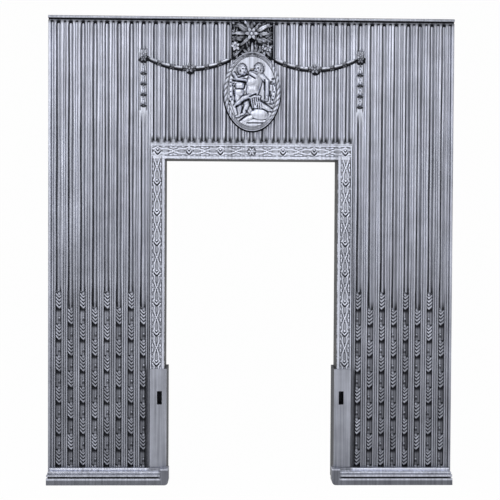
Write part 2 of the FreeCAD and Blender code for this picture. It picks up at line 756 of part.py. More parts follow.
def cap(name, radius, rise, x, depth, z):
    """A low dome on an upright plate. It grows towards the front from the given depth."""
    ball = f"(({radius} * {radius} + {rise} * {rise}) / (2 * {rise}))"
    values = {"Radius": ball, "Angle1": f"asin(({ball} - {rise}) / {ball})"}
    return primitive("Sphere", name, values, (x, f"{depth} + {ball} - {rise}", z), ((1, 0, 0), 90))


def rivet_sockets(name, places, width, bite):
    """The blind holes in an ornament's back."""
    drills = []
    for index, (x, z) in enumerate(places):
        values = {"Radius": f"{width} / 2", "Height": f"{bite} + 1"}
        place = (x, f"{FRONT} + 1", z)
        drills.append(primitive("Cylinder", f"{name}_{index}", values, place, ((1, 0, 0), 90)))
    return drills


RELIEF = [
    # across, up, radius and rise of each swelling, as shares of the oval's inner width
    (-0.12, 0.36, 0.075, 0.055),
    (0.10, 0.40, 0.075, 0.055),
    (-0.14, 0.18, 0.105, 0.055),
    (-0.11, 0.02, 0.100, 0.055),
    (0.11, 0.22, 0.110, 0.055),
    (0.12, 0.05, 0.115, 0.055),
    (-0.02, -0.10, 0.090, 0.050),
    (0.15, -0.13, 0.090, 0.050),
    (-0.15, -0.17, 0.080, 0.050),
    (-0.16, -0.34, 0.065, 0.045),
    (0.15, -0.32, 0.075, 0.045),
    (-0.02, -0.46, 0.190, 0.040),
    (0.17, -0.50, 0.120, 0.035),
]


def medallion():
    bead_rear = f"({FRONT} - medallion_ring_height)"
    hole_width = "(medallion_width - 2 * medallion_ring_width)"
    hole_height = "(medallion_height - 2 * medallion_ring_width)"
    inset = "2 * medallion_bead_inset"
    whole = "(medallion_ring_height + medallion_bead_height)"
    body = oval("ring_body", "medallion_width", "medallion_height", FRONT, "medallion_ring_height")
    bead_size = (f"(medallion_width - {inset})", f"(medallion_height - {inset})")
    bead = oval("ring_bead", *bead_size, bead_rear, "medallion_bead_height")
    outer = joined("MultiFuse", "ring_outer", [body, bead])
    step_size = (f"({hole_width} + {inset})", f"({hole_height} + {inset})")
    hole = joined(
        "MultiFuse",
        "ring_hole",
        [
            oval("ring_hole_low", hole_width, hole_height, FRONT, whole),
            oval("ring_hole_high", *step_size, bead_rear, "medallion_bead_height"),
        ],
    )
    ring = joined("Cut", "ring_open", [outer, hole])
    drills = rivet_sockets("ring_socket", ring_rivets(), RIVET_HOLE, "rivet_bite")
    sockets = joined("MultiFuse", "ring_sockets", drills)
    keep(joined("Cut", "ring", [ring, sockets]), "medallion_ring")
    plaque_size = (f"({hole_width} - 2 * fit_clearance)", f"({hole_height} - 2 * fit_clearance)")
    parts = [oval("plaque_plate", *plaque_size, FRONT, "plaque_thickness")]
    face = f"({FRONT} - plaque_thickness + 1)"
    for index, (across, up, radius, rise) in enumerate(RELIEF):
        x = f"{across} * {hole_width}"
        z = f"{MEDALLION_MIDDLE} + {up} * {hole_width}"
        swelling = (f"({radius} * {hole_width})", f"({rise} * {hole_width})")
        parts.append(cap(f"relief_{index}", *swelling, x, face, z))
    raised = joined("MultiFuse", "plaque_raised", parts)
    stud_hole = "(stud_width + fit_clearance)"
    drills = rivet_sockets("stud_socket", medallion_studs(), stud_hole, "plaque_thickness * 0.8")
    keep(joined("Cut", "plaque", [raised, joined("MultiFuse", "stud_sockets", drills)]), "medallion_plaque")


def bouquet():
    """A flower with six petals on a ground of leaves, cut out below for the medallion."""
    values = {"Length": "bouquet_width", "Width": "bouquet_thickness", "Height": "bouquet_height"}
    corner = ("-1 * bouquet_width / 2", f"{FRONT} - bouquet_thickness", f"{BOUQUET_TOP} - bouquet_height")
    parts = [primitive("Box", "bouquet_ground", values, corner)]
    height = f"({BOUQUET_TOP} - bouquet_height * 0.36)"
    face = f"({FRONT} - bouquet_thickness + 1)"
    for petal in range(6):
        turn = math.radians(60 * petal + 30)
        x = f"{math.cos(turn):.4f} * flower_radius"
        z = f"{height} + {math.sin(turn):.4f} * flower_radius"
        parts.append(cap(f"petal_{petal}", "(flower_radius * 0.6)", "(flower_height * 0.6)", x, face, z))
    parts.append(cap("flower_heart", "(flower_radius * 0.6)", "flower_height * 0.9", "0", face, height))
    for across in (-1, 1):
        for leaf, share in enumerate((0.17, 0.5, 0.84)):
            x = f"{across} * bouquet_width * 0.37"
            z = f"{BOUQUET_TOP} - bouquet_height * {share}"
            name = f"leaf_{across + 1}_{leaf}"
            parts.append(cap(name, "(bouquet_width * 0.11)", "(flower_height * 0.5)", x, face, z))
    whole = joined("MultiFuse", "bouquet_whole", parts)
    room = oval(
        "bouquet_room",
        "(medallion_width + 2 * fit_clearance)",
        "(medallion_height + 2 * fit_clearance)",
        FRONT,
        "(bouquet_thickness + 2 * flower_height)",
    )
    away = [room] + rivet_sockets("bouquet_socket", bouquet_rivets(), RIVET_HOLE, "rivet_bite")
    keep(joined("Cut", "bouquet", [whole, joined("MultiFuse", "bouquet_away", away)]), "bouquet")


def rope(radius, from_turn, to_turn):
    """A length of hanging rope with a flat back, between two angles from its lowest point."""
    sink = number("garland_rope_width") * 0.2
    edge = math.sqrt(radius * radius - sink * sink)
    reach = number(GARLAND_RADIUS)
    high = FreeCAD.Vector(0, 0, edge - reach)
    front = FreeCAD.Vector(0, -sink - radius, -reach)
    low = FreeCAD.Vector(0, 0, -edge - reach)
    arc = Part.Arc(high, front, low)
    chord = Part.makeLine(arc.EndPoint, arc.StartPoint)
    face = Part.Face(Part.Wire([arc.toShape(), chord]))
    face.rotate(FreeCAD.Vector(), FreeCAD.Vector(0, -1, 0), math.degrees(from_turn))
    return face.revolve(FreeCAD.Vector(), FreeCAD.Vector(0, -1, 0), math.degrees(to_turn - from_turn))


def garland(side, sign):
    """A hanging rope with thicker leaf sheaths and one flower at its lowest point."""
    thick = number("garland_rope_width") / 2
    reach = number(GARLAND_RADIUS)
    end = math.asin((number(GARLAND_HALF) - number("fit_clearance")) / (reach + thick))
    shape = rope(thick * 0.75, -end, end)
    step = end / 5
    for index in range(-5, 5):
        shape = shape.fuse(rope(thick, (index + 0.15) * step, (index + 0.75) * step))
    width = number("garland_flower_width") / 2
    height = number("garland_flower_height")
    low = FreeCAD.Vector(0, 0, -reach)
    shape = shape.fuse(Part.makeCone(width, width * 0.8, height * 0.5, low, FreeCAD.Vector(0, -1, 0)))
    shape = shape.fuse(Part.makeCone(width * 0.45, width * 0.25, height, low, FreeCAD.Vector(0, -1, 0)))
    middle = number(at(sign, GARLAND_MIDDLE))
    shape.translate(FreeCAD.Vector(middle, number(FRONT), number(GARLAND_LOW) + reach))
    thing = keep(doc.addObject("Part::Feature", f"{side}_garland"), f"{side}_garland")
    thing.Shape = drilled(shape.removeSplitter(), garland_rivets(sign), number(FRONT))


def rosette(side, sign):
    """A round boss with a raised heart, turned about its own axis."""
    flower = Body(f"{side}_rosette")
    bind(flower.body, "Placement.Base.x", at(sign, ROSETTE_X))
    bind(flower.body, "Placement.Base.y", FRONT)
    bind(flower.body, "Placement.Base.z", GARLAND_END)
    profile = [
        ("(rivet_width / 2 + fit_clearance / 2)", "0"),
        ("(rosette_width / 2 - fit_clearance)", "0"),
        ("(rosette_width / 2 - fit_clearance)", "-1 * rosette_height * 0.3"),
        ("(rosette_width * 0.4)", "-1 * rosette_height * 0.65"),
        ("(rosette_width * 0.26)", "-1 * rosette_height * 0.5"),
        ("(rosette_width * 0.2)", "-1 * rosette_height * 0.95"),
        ("0", "-1 * rosette_height"),
        ("0", "-1 * rivet_bite"),
        ("(rivet_width / 2 + fit_clearance / 2)", "-1 * rivet_bite"),
    ]
    sketch = flower.polygon("XY_Plane", "0", profile)
    turned = flower.body.newObject("PartDesign::Revolution", flower.named("revolution"))
    turned.Profile = sketch
    turned.ReferenceAxis = (flower.planes["Y_Axis"], [""])
    turned.Angle = 360
    flower.body.Tip = turned


def half_turned(outline, centre, depth, top):
    """A strip with a flat back, turned by half a circle from (radius, drop) pairs about an upright axis."""
    spots = [FreeCAD.Vector(0, 0, 0)]
    spots += [FreeCAD.Vector(radius, 0, -drop) for radius, drop in outline]
    spots.append(FreeCAD.Vector(0, 0, -outline[-1][1]))
    face = Part.Face(Part.makePolygon(spots + [spots[0]]))
    shape = face.revolve(FreeCAD.Vector(), FreeCAD.Vector(0, 0, 1), -180)
    shape.translate(FreeCAD.Vector(centre, depth, top))
    return shape


def drilled(shape, places, depth):
    """The shape with the rivets' blind holes in its flat back."""
    radius = number(RIVET_HOLE) / 2
    bite = number("rivet_bite") + 1
    forward = FreeCAD.Vector(0, -1, 0)
    for x, z in places:
        start = FreeCAD.Vector(number(x), depth + 1, number(z))
        shape = shape.cut(Part.makeCylinder(radius, bite, start, forward))
    return shape.Solids[0]


def husk_drop(side, sign):
    """Four bell-shaped husks on a stem."""
    stem = number("drop_stem_width") / 2
    width = number("drop_husk_width") / 2
    length = number("drop_husk_length")
    outline = []
    for index in range(int(number("drop_husk_count"))):
        start = index * number("drop_husk_pitch")
        outline.append((stem, start))
        outline.append((width * 0.55, start + length * 0.25))
        outline.append((width * 0.75, start + length * 0.6))
        outline.append((width, start + length))
        outline.append((stem, start + length + 0.5))
    outline[-1] = (stem, number(DROP_LENGTH) - number("drop_husk_pitch") + length + 2)
    depth = number(FRONT)
    shape = half_turned(outline, number(at(sign, ROSETTE_X)), depth, number(DROP_TOP))
    thing = keep(doc.addObject("Part::Feature", f"{side}_husk_drop"), f"{side}_husk_drop")
    thing.Shape = drilled(shape, drop_rivets(sign)[1:], depth)


def husk_chain(side, column, centre, places):
    """Husks of leaf tiers with a berry between each two, on a stem that fills the lower flute."""
    stem = number("chain_stem_width") / 2
    width = number("chain_husk_width") / 2
    length = number("chain_husk_length")
    height = number("chain_height")
    tiers = int(number("chain_tier_count"))
    berry = number("berry_width") / 2
    bud = length * 0.15
    step = (length - bud) / tiers
    start = number(chain_start(column))
    outline = [(stem, 0)] if start > 0 else []
    while start + length < height:
        outline.append((stem, start))
        for tier in range(tiers):
            outline.append((width, start + bud + (tier + 0.75) * step))
            outline.append((width * 0.7, start + bud + (tier + 0.95) * step))
        outline[-1] = (stem, start + length)
        middle = start + length + (number("chain_pitch") - length) * 0.6
        if middle + berry < height:
            outline += [(stem, middle - berry), (berry, middle), (stem, middle + berry)]
        start += number("chain_pitch")
    outline.append((stem, height))
    depth = number(FLUTE_FLOOR)
    shape = half_turned(outline, number(centre), depth, number(CHAIN_TOP))
    name = f"{side}_husk_chain_{column + 1}"
    thing = keep(doc.addObject("Part::Feature", name), name)
    thing.Shape = drilled(shape, places, depth)


def husk_chains(side, sign):
    rivets = chain_rivets(sign)
    for column, centre in enumerate(flute_centres(sign)):
        husk_chain(side, column, centre, rivets[2 * column : 2 * column + 2])


def strap(name, low, high, places):
    """A flat bar on the bosses at the back, drilled for its screws."""
    bar = Body(name)
    bar.pad(bar.rectangle("XZ_Plane", STRAP_FRONT, low, high), "strap_thickness", True)
    holes = bar.circles("XZ_Plane", STRAP_FRONT, "(screw_width + 2 * fit_clearance)", places)
    bar.pocket(holes, "strap_thickness")


def joint_strap_places(sign):
    places = [(at(sign, STRAP_OUT), row) for row in STRAP_ROWS]
    places += [(at(sign, STRAP_IN), row) for row in STRAP_ROWS]
    return places + [(at(sign, STRAP_IN), HEAD_MIDDLE)]


def foot_strap_places(sign):
    return [(at(sign, column), row) for column in (STRAP_OUT, STRAP_IN) for row in FOOT_ROWS]


def head_strap_places():
    return [(column, row) for column in head_strap_columns() for row in (HEAD_MIDDLE, HEAD_STRAP_TOP)]


def straps():
    for side, sign in SIDES.items():
        edges = (at(sign, f"({STRAP_OUT} + strap_margin)"), at(sign, f"({STRAP_IN} - strap_margin)"))
        low = (edges[0], f"({STRAP_ROWS[-1]} - 2 * strap_margin)")
        high = (edges[1], f"({STRAP_ROWS[0]} + 2 * strap_margin)")
        strap(f"{side}_joint_strap", low, high, joint_strap_places(sign))
        low = (edges[0], f"({FOOT_ROWS[0]} - 2 * strap_margin)")
        high = (edges[1], f"({FOOT_ROWS[1]} + 2 * strap_margin)")
        strap(f"{side}_foot_strap", low, high, foot_strap_places(sign))
    end = "(head_strap_span / 2 + 2 * strap_margin)"
    low = (f"-1 * {end}", f"({HEAD_MIDDLE} - strap_margin)")
    high = (end, f"({HEAD_STRAP_TOP} + strap_margin)")
    strap("head_strap", low, high, head_strap_places())


def foot_angle(side, sign):
    """An angle iron that ties the jamb to the plinth."""
    angle = Body(f"{side}_foot_angle")
    corners = [
        (STRAP_FRONT, "plinth_height"),
        (f"({STRAP_FRONT} + angle_leg)", "plinth_height"),
        (f"({STRAP_FRONT} + angle_leg)", "(plinth_height + angle_thickness)"),
        (f"({STRAP_FRONT} + angle_thickness)", "(plinth_height + angle_thickness)"),
        (f"({STRAP_FRONT} + angle_thickness)", "(plinth_height + angle_leg)"),
        (STRAP_FRONT, "(plinth_height + angle_leg)"),
    ]
    start = f"({sign} * {JAMB_MIDDLE} - angle_length / 2)"
    angle.pad(angle.polygon("YZ_Plane", start, corners), "angle_length")
    columns = angle_columns(sign)
    width = "(screw_width + 2 * fit_clearance)"
    upright = angle.circles("XZ_Plane", STRAP_FRONT, width, [(x, ANGLE_RISE) for x in columns])
    angle.pocket(upright, "angle_thickness")
    depth = f"({STRAP_FRONT} + angle_leg - strap_margin)"
    top = "(plinth_height + angle_thickness)"
    level = angle.circles("XY_Plane", top, width, [(x, depth) for x in columns])
    angle.pocket(level, "angle_thickness")


def angle_columns(sign):
    return [at(sign, f"({JAMB_MIDDLE} + {half} * angle_screw_pitch)") for half in ("-0.5", "0.5")]


def hexagon(width, height):
    """An upright six-sided prism with the given width across its flats."""
    radius = width / math.sqrt(3)
    turns = [math.radians(60 * index) for index in range(7)]
    spots = [FreeCAD.Vector(radius * math.cos(turn), radius * math.sin(turn), 0) for turn in turns]
    return Part.Face(Part.makePolygon(spots)).extrude(FreeCAD.Vector(0, 0, height))


def screw(shank):
    """A hexagon-headed screw. The head stands on the level of the origin, the shank points down."""
    head = hexagon(number("screw_head_width"), number("screw_head_height"))
    stem = Part.makeCylinder(number("screw_width") / 2, shank, FreeCAD.Vector(), FreeCAD.Vector(0, 0, -1))
    return head.fuse(stem).removeSplitter().Solids[0]


def rivet(shank):
    """A rivet with a low conical head, built like a screw."""
    width = number("rivet_head_width") / 2
    head = Part.makeCone(width, width * 0.6, number("rivet_head_height"))
    stem = Part.makeCylinder(number("rivet_width") / 2, shank, FreeCAD.Vector(), FreeCAD.Vector(0, 0, -1))
    return head.fuse(stem).removeSplitter().Solids[0]


TO_REAR = FreeCAD.Rotation(FreeCAD.Vector(1, 0, 0), -90)


def set_out(shape, places, depth):
    """Copies of a shape at places on a plane, pointing to the rear."""
    copies = []
    for x, z in places:
        copy = shape.copy()
        copy.Placement = FreeCAD.Placement(FreeCAD.Vector(number(x), number(depth), number(z)), TO_REAR)
        copies.append(copy)
    return copies


def group(label, solids):
    thing = keep(doc.addObject("Part::Feature", label), label)
    thing.Shape = Part.makeCompound(solids)


def fasteners():
    places = head_strap_places()
    for sign in SIDES.values():
        places = places + joint_strap_places(sign) + foot_strap_places(sign)
    shank = number("boss_height + strap_thickness")
    group("strap_screws", set_out(screw(shank), places, f"({STRAP_FRONT} + strap_thickness)"))
    into_boss = screw(number("boss_height + angle_thickness"))
    into_plinth = screw(number("plinth_height * 0.7 + angle_thickness"))
    solids = []
    for sign in SIDES.values():
        columns = angle_columns(sign)
        rise = [(x, ANGLE_RISE) for x in columns]
        solids += set_out(into_boss, rise, f"({STRAP_FRONT} + angle_thickness)")
        for x in columns:
            copy = into_plinth.copy()
            depth = number(f"{STRAP_FRONT} + angle_leg - strap_margin")
            copy.translate(FreeCAD.Vector(number(x), depth, number("plinth_height + angle_thickness")))
            solids.append(copy)
    group("angle_screws", solids)
    places = [(at(sign, place), BASE_SCREW_HEIGHT) for sign in SIDES.values() for place in BASE_SCREWS]
    group("base_screws", set_out(screw(number("panel_thickness + base_top_projection * 0.6")), places, BACK))
    stud = Part.makeCylinder(number("stud_width") / 2, number("stud_length"))
    group("medallion_studs", set_out(stud, medallion_studs(), f"{FRONT} - plaque_thickness * 0.8"))
    nut = hexagon(number("nut_width"), number("nut_height"))
    bore = Part.makeCylinder(number("stud_width + fit_clearance") / 2, number("nut_height"))
    group("medallion_nuts", set_out(nut.cut(bore).Solids[0], medallion_studs(), BACK))
    pin = number("panel_thickness + rivet_bite")
    places = ring_rivets() + bouquet_rivets()
    for sign in SIDES.values():
        places = places + garland_rivets(sign) + drop_rivets(sign)
    group("ornament_rivets", set_out(rivet(pin), places, BACK))
    pin = number("panel_thickness - flute_depth + rivet_bite")
    for side, sign in SIDES.items():
        group(f"{side}_chain_rivets", set_out(rivet(pin), chain_rivets(sign), BACK))


frieze_panel()
border_head()
medallion()
bouquet()
straps()
for side, sign in SIDES.items():
    jamb_panel(side, sign)
    border_stile(side, sign)
    slot_plate(side, sign)
    base_moulding(side, sign)
    plinth(side, sign)
    garland(side, sign)
    rosette(side, sign)
    husk_drop(side, sign)
    husk_chains(side, sign)
    foot_angle(side, sign)
fasteners()
doc.recompute()

for thing in doc.Objects:
    if "Invalid" in thing.State or "Error" in thing.State:
        raise RuntimeError(f"{thing.Label} did not build: {thing.State}")
for piece in pieces:
    if piece.Shape.isNull() or not piece.Shape.isValid() or not piece.Shape.Solids:
        raise RuntimeError(f"{piece.Label} has no sound solid")

os.makedirs("parts", exist_ok=True)
for piece in pieces:
    piece.Shape.exportStep(f"parts/{piece.Label}.step")
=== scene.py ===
import bmesh
import bpy
import math
import numpy as np
from mathutils import Matrix, Vector


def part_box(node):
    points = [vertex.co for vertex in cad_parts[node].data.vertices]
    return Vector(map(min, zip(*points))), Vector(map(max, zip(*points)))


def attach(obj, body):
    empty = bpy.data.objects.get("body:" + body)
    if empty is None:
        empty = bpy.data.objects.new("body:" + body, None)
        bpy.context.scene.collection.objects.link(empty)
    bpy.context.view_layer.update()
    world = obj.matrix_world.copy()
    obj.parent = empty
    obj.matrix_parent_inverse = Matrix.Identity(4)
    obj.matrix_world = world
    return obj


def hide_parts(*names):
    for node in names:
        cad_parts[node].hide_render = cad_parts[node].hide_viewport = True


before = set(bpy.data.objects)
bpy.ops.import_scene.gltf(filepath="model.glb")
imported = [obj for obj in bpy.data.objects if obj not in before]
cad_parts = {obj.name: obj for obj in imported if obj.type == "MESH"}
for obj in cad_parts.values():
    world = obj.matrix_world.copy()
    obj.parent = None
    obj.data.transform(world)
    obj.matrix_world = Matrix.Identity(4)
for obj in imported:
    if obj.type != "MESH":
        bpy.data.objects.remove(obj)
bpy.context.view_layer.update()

# Lengths in this script are millimetres. They become metres when a mesh is made.
MM = 0.001
SIDES = {"left": -1, "right": 1}


def node_box(node):
    """Lowest and highest corner of a node in millimetres."""
    low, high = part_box(node)
    return np.array(low) / MM, np.array(high) / MM


def middle_of(node):
    """Middle of a node, across and up."""
    low, high = node_box(node)
    centre = (low + high) / 2
    return centre[0], centre[2]


# Planes and heights that several pieces share. A modelled front meets its casting's plain back at the seam.
PANEL_THICKNESS = 9.0
FRONT = node_box("left_rosette")[1][1]
SEAM = FRONT + PANEL_THICKNESS - 0.5
FLOOR = node_box("left_husk_chain_1")[1][1]
TOP = node_box("frieze_panel")[1][2]
CHAIN_LOW, CHAIN_TOP = (corner[2] for corner in node_box("left_husk_chain_1"))
BORDER_TOP = node_box("border_head")[1][2]
JOINT = node_box("border_head")[1][0]
JAMB_OUT = node_box("right_jamb_panel")[1][0]

# Section of the flutes, whose walls lean, and of the bead and the quirk over them
FLUTE_HALF = 6.8
FLUTE_DEPTH = FLOOR - FRONT
WALL_FOOT = 4.5
WALL_TOP = 5.9
ROD_RISE = 4.0
ROD_GAP = 3.4
BEAD_HEIGHT = 6.0
BEAD_LOW = TOP - BEAD_HEIGHT
QUIRK_HEIGHT = 3.0
QUIRK_DEPTH = 3.0
HEAD_LAND = 2.5
FLUTE_HEAD = BEAD_LOW - QUIRK_HEIGHT - HEAD_LAND
FLUTE_TOP = FLUTE_HEAD - FLUTE_HALF

# Polish of the blackest places, where painted shade is deepest, the height where the painted shade towards
# the floor is deepest, and the cells over which the painted shade of hollows reaches
DEEPEST_SHADE = 0.02
DEEPEST_SHADE_HEIGHT = -60.0
HOLLOW_SHADE_REACH = 5


def smooth(value, low, high):
    """Eased step from 0 at low to 1 at high."""
    share = np.clip((value - low) / (high - low), 0, 1)
    return share * share * (3 - 2 * share)


def fall(value, low, high):
    """Eased step from 1 at low to 0 at high."""
    return 1 - smooth(value, low, high)


def spot(value, centre, reach):
    """A soft spot that is 1 at its centre."""
    return np.exp(-(((value - centre) / reach) ** 2))


def to_line(x, z, centre, low, high):
    """Distance from an upright line."""
    return np.hypot(x - centre, z - np.clip(z, low, high))


def dome(distance, radius, rise):
    """Height of a round swelling at a distance from its middle."""
    return rise * np.sqrt(np.clip(1 - (distance / radius) ** 2, 0, 1))


def edge_drop(distance, radius):
    """How far a rounded edge falls back at a distance from the corner."""
    inside = radius - np.clip(distance, 0, radius)
    return radius - np.sqrt(radius * radius - inside * inside)


def blurred(field, reach):
    """A field with each cell averaged over a square of its neighbours."""
    size = 2 * reach + 1
    total = np.pad(field, reach, mode="edge").cumsum(0).cumsum(1)
    total = np.pad(total, ((1, 0), (1, 0)))
    square = total[size:, size:] - total[:-size, size:] - total[size:, :-size] + total[:-size, :-size]
    return square / size**2


def rubbed_with_hollow_shade(height, span, level):
    """Polish of a relief: bright where it stands above its surroundings, as rubbed iron with a painted
    highlight, and black where it lies below them, as painted shade.
    """
    return np.clip(level + (height - blurred(height, HOLLOW_SHADE_REACH)) / span, DEEPEST_SHADE, 1)


def floorward_shade(z):
    """How much of its polish the iron keeps at a height: painted shade darkens it towards the floor."""
    return 0.54 + 0.46 * smooth(z, DEEPEST_SHADE_HEIGHT, BORDER_TOP)


def full_turn(steps):
    """Angles once round, in even steps."""
    return np.linspace(0, 2 * math.pi, steps, endpoint=False)


def pointing(degrees):
    """Unit direction in the upright plane, turned from +X towards +Z."""
    return np.array([math.cos(math.radians(degrees)), 0, math.sin(math.radians(degrees))])


def placed(name, data):
    """Puts a new thing into the scene."""
    thing = bpy.data.objects.new(name, data)
    bpy.context.scene.collection.objects.link(thing)
    return thing


class Skin:
    """Points, faces and polish of one new piece. The polish also holds painted shade and painted highlights.
    """

    def __init__(self):
        self.points = []
        self.faces = []
        self.polish_and_painted_light = []
        self.kinds = []
        self.count = 0

    def add(self, points, faces, polish_and_painted_light, kind=0):
        points = np.asarray(points, float).reshape(-1, 3)
        self.points.append(points)
        self.polish_and_painted_light.append(np.broadcast_to(np.asarray(polish_and_painted_light, float).ravel(), len(points)))
        self.faces += [[index + self.count for index in face] for face in faces]
        self.kinds += [kind] * len(faces)
        self.count += len(points)

    def patch(self, points, polish_and_painted_light, around=False):
        """A grid of points in rows and columns. It may close on itself around its columns."""
        rows, columns = points.shape[:2]
        index = np.arange(rows * columns).reshape(rows, columns)
        if around:
            index = np.concatenate([index, index[:, :1]], 1)
        corners = [index[:-1, :-1], index[:-1, 1:], index[1:, 1:], index[1:, :-1]]
        quads = np.stack(corners, -1).reshape(-1, 4)
        self.add(points, quads.tolist(), polish_and_painted_light)

    def relief(self, across, up, height, polish_and_painted_light, plane, depth, side_polish_and_shade=0.5, closed=False):
        """A front that stands out from an upright plane by a height at each place, with sides to a depth."""
        points = np.stack([across, plane - height, up], -1)
        self.patch(points, polish_and_painted_light)
        loop = np.concatenate([points[0, :-1], points[:-1, -1], points[-1, :0:-1], points[:0:-1, 0]])
        rear = loop.copy()
        rear[:, 1] = depth
        self.patch(np.stack([rear, loop]), side_polish_and_shade, True)
        if closed:
            self.add(rear, [list(range(len(rear)))[::-1]], 0)

    def behind(self, node, plane, kind):
        """What a node has behind an upright plane, without polish."""
        solid = bmesh.new()
        solid.from_mesh(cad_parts[node].data)
        bmesh.ops.remove_doubles(solid, verts=solid.verts, dist=1e-6)
        everything = solid.verts[:] + solid.edges[:] + solid.faces[:]
        cut = {"plane_co": (0, plane * MM, 0), "plane_no": (0, 1, 0), "clear_inner": True}
        bmesh.ops.bisect_plane(solid, geom=everything, dist=1e-7, **cut)
        solid.verts.index_update()
        faces = [[vertex.index for vertex in face.verts] for face in solid.faces]
        self.add([vertex.co / MM for vertex in solid.verts], faces, 0, kind)
        solid.free()

    def tube(self, path, radii, polish_and_painted_light, lobes=0, notch=0.0):
        """A flattish or lobed bar along a path in an upright plane, painted bright on its top and front and
        black beneath as painted shade.
        """
        path = np.asarray(path, float)
        along = np.gradient(path, axis=0)
        along /= np.linalg.norm(along, axis=1, keepdims=True)
        out = np.array([0.0, -1.0, 0.0])
        across = np.cross(out, along)
        turn = full_turn(20)
        reach = np.asarray(radii, float)[:, None] * (1 - notch * (0.5 + 0.5 * np.cos(lobes * turn)))
        offset = np.cos(turn)[None, :, None] * across[:, None] + 0.65 * np.sin(turn)[None, :, None] * out
        # painted light: bright where the bar faces up and out, painted shade beneath it and between its
        # lobes
        lit_side = 0.85 * offset[..., 2] - 0.85 * offset[..., 1]
        shade = DEEPEST_SHADE + (1 - DEEPEST_SHADE) * smooth(lit_side, 0.1, 0.85)
        shade = shade * (1 - 2.5 * notch * (1 + np.cos(lobes * turn)))
        self.patch(path[:, None] + reach[..., None] * offset, np.asarray(polish_and_painted_light)[:, None] * shade, True)

    def blade(self, root, turn, length, width, rise, lift, bright, lobes=0):
        """A leaf or petal that grows from a root along an upright plane, with a vein and a narrower back."""
        way = np.linspace(0, 1, 15)[:, None]
        face_columns = np.linspace(-1, 1, 9)
        side = np.concatenate([face_columns, [0.6, -0.6]])[None, :]
        rear = np.arange(side.size)[None, :] >= face_columns.size
        swell = np.sin(math.pi * way**0.72)
        full = np.clip(swell, 0, 1)
        half = width / 2 * full**0.7
        if lobes:
            half = half * (1 - 0.28 * np.cos(math.pi * lobes * way) ** 8)
        vein = spot(side, 0, 0.16)
        rib = lift[0] + (lift[1] - lift[0]) * way + 0.5 * rise * swell
        face = rib + rise * (1 - side * side) * full**0.5 - 0.45 * rise * vein
        height = np.where(rear, rib - 1.2, face)
        forward = pointing(turn)
        aside = np.array([forward[2], 0, -forward[0]])
        flat = np.asarray(root, float) + forward * (length * way)[..., None]
        flat = flat + aside * (half * side)[..., None]
        flat[..., 1] -= height
        # painted shade: dark edges, a black back, a dim root and a dark vein, with the middle of the face
        # painted bright
        shade = np.where(rear, DEEPEST_SHADE, 0.06 + 0.94 * np.clip(1 - side * side, 0, 1) ** 0.8)
        shade = shade * (0.2 + 0.8 * smooth(way, 0.0, 0.5)) * (1 - 0.6 * vein)
        self.patch(flat, bright * shade, True)

    def knob(self, place, radius, rise, bright=1.0, spread=1.0):
        """A low round boss, or an oval one that spreads across."""
        turn = full_turn(14)[None, :]
        climb = np.linspace(0, math.pi / 2, 6)[:, None]
        across = spread * radius * np.cos(climb) * np.cos(turn)
        up = radius * np.cos(climb) * np.sin(turn)
        out = rise * np.sin(climb) + 0 * turn
        points = np.asarray(place, float) + np.stack([across, -out, up], -1)
        # painted shade at its foot, painted brighter towards its top
        self.patch(points, bright * (0.3 + 0.7 * np.sin(climb)) + 0 * turn, True)

    def flower(self, place, petals, reach, width, rise, heart, first, lift, bright):
        """Petals round a boss."""
        for index in range(petals):
            turn = first + 360 * index / petals
            root = np.asarray(place, float) + pointing(turn) * heart * 0.5
            self.blade(root, turn, reach - heart * 0.5, width, rise, lift, bright)
        self.knob(place, heart, rise + heart * 0.8, bright)


class Finish:
    """A material built from nodes."""

    def __init__(self, name):
        self.material = bpy.data.materials.new(name)
        self.material.use_nodes = True
        self.tree = self.material.node_tree
        self.shader = self.tree.nodes["Principled BSDF"]

    def node(self, kind, settings=None, **inputs):
        made = self.tree.nodes.new(kind)
        for word, value in (settings or {}).items():
            setattr(made, word, value)
        for word, value in inputs.items():
            self.feed(made.inputs[word], value)
        return made

    def feed(self, socket, value):
        if isinstance(value, bpy.types.NodeSocket):
            self.tree.links.new(value, socket)
        else:
            socket.default_value = value

    def noise(self, scale, detail, stretch=(1, 1, 1)):
        place = self.node("ShaderNodeTexCoord").outputs["Object"]
        mapped = self.node("ShaderNodeMapping", Vector=place, Scale=stretch)
        made = self.node("ShaderNodeTexNoise", Vector=mapped.outputs[0], Scale=scale, Detail=detail)
        return made.outputs["Fac"]

    def ranged(self, value, low, high, to_low, to_high):
        made = self.node("ShaderNodeMapRange", Value=value)
        for word, number in zip(("From Min", "From Max", "To Min", "To Max"), (low, high, to_low, to_high)):
            made.inputs[word].default_value = number
        return made.outputs[0]

    def math(self, operation, first, second):
        made = self.node("ShaderNodeMath", {"operation": operation})
        self.feed(made.inputs[0], first)
        self.feed(made.inputs[1], second)
        return made.outputs[0]

    def mixed(self, share, first, second):
        made = self.node("ShaderNodeMix", {"data_type": "RGBA"})
        self.feed(made.inputs["Factor"], share)
        self.feed(made.inputs["A"], first)
        self.feed(made.inputs["B"], second)
        return made.outputs["Result"]

    def surface(self, colour, rough, metallic):
        for word, value in (("Base Color", colour), ("Roughness", rough), ("Metallic", metallic)):
            self.feed(self.shader.inputs[word], value)

    def bump(self, height, strength, distance):
        made = self.node("ShaderNodeBump", Height=height, Strength=strength, Distance=distance)
        self.feed(self.shader.inputs["Normal"], made.outputs[0])

    def polish_and_painted_light(self):
        return self.node("ShaderNodeAttribute", {"attribute_name": "polish_and_painted_light"}).outputs["Fac"]

    def along(self, axis):
        """Place along an axis. Inside a material it is in metres."""
        place = self.node("ShaderNodeTexCoord").outputs["Object"]
        return self.node("ShaderNodeSeparateXYZ", Vector=place).outputs[axis]

    def away(self, axis):
        return self.math("ABSOLUTE", self.along(axis), 0.0)


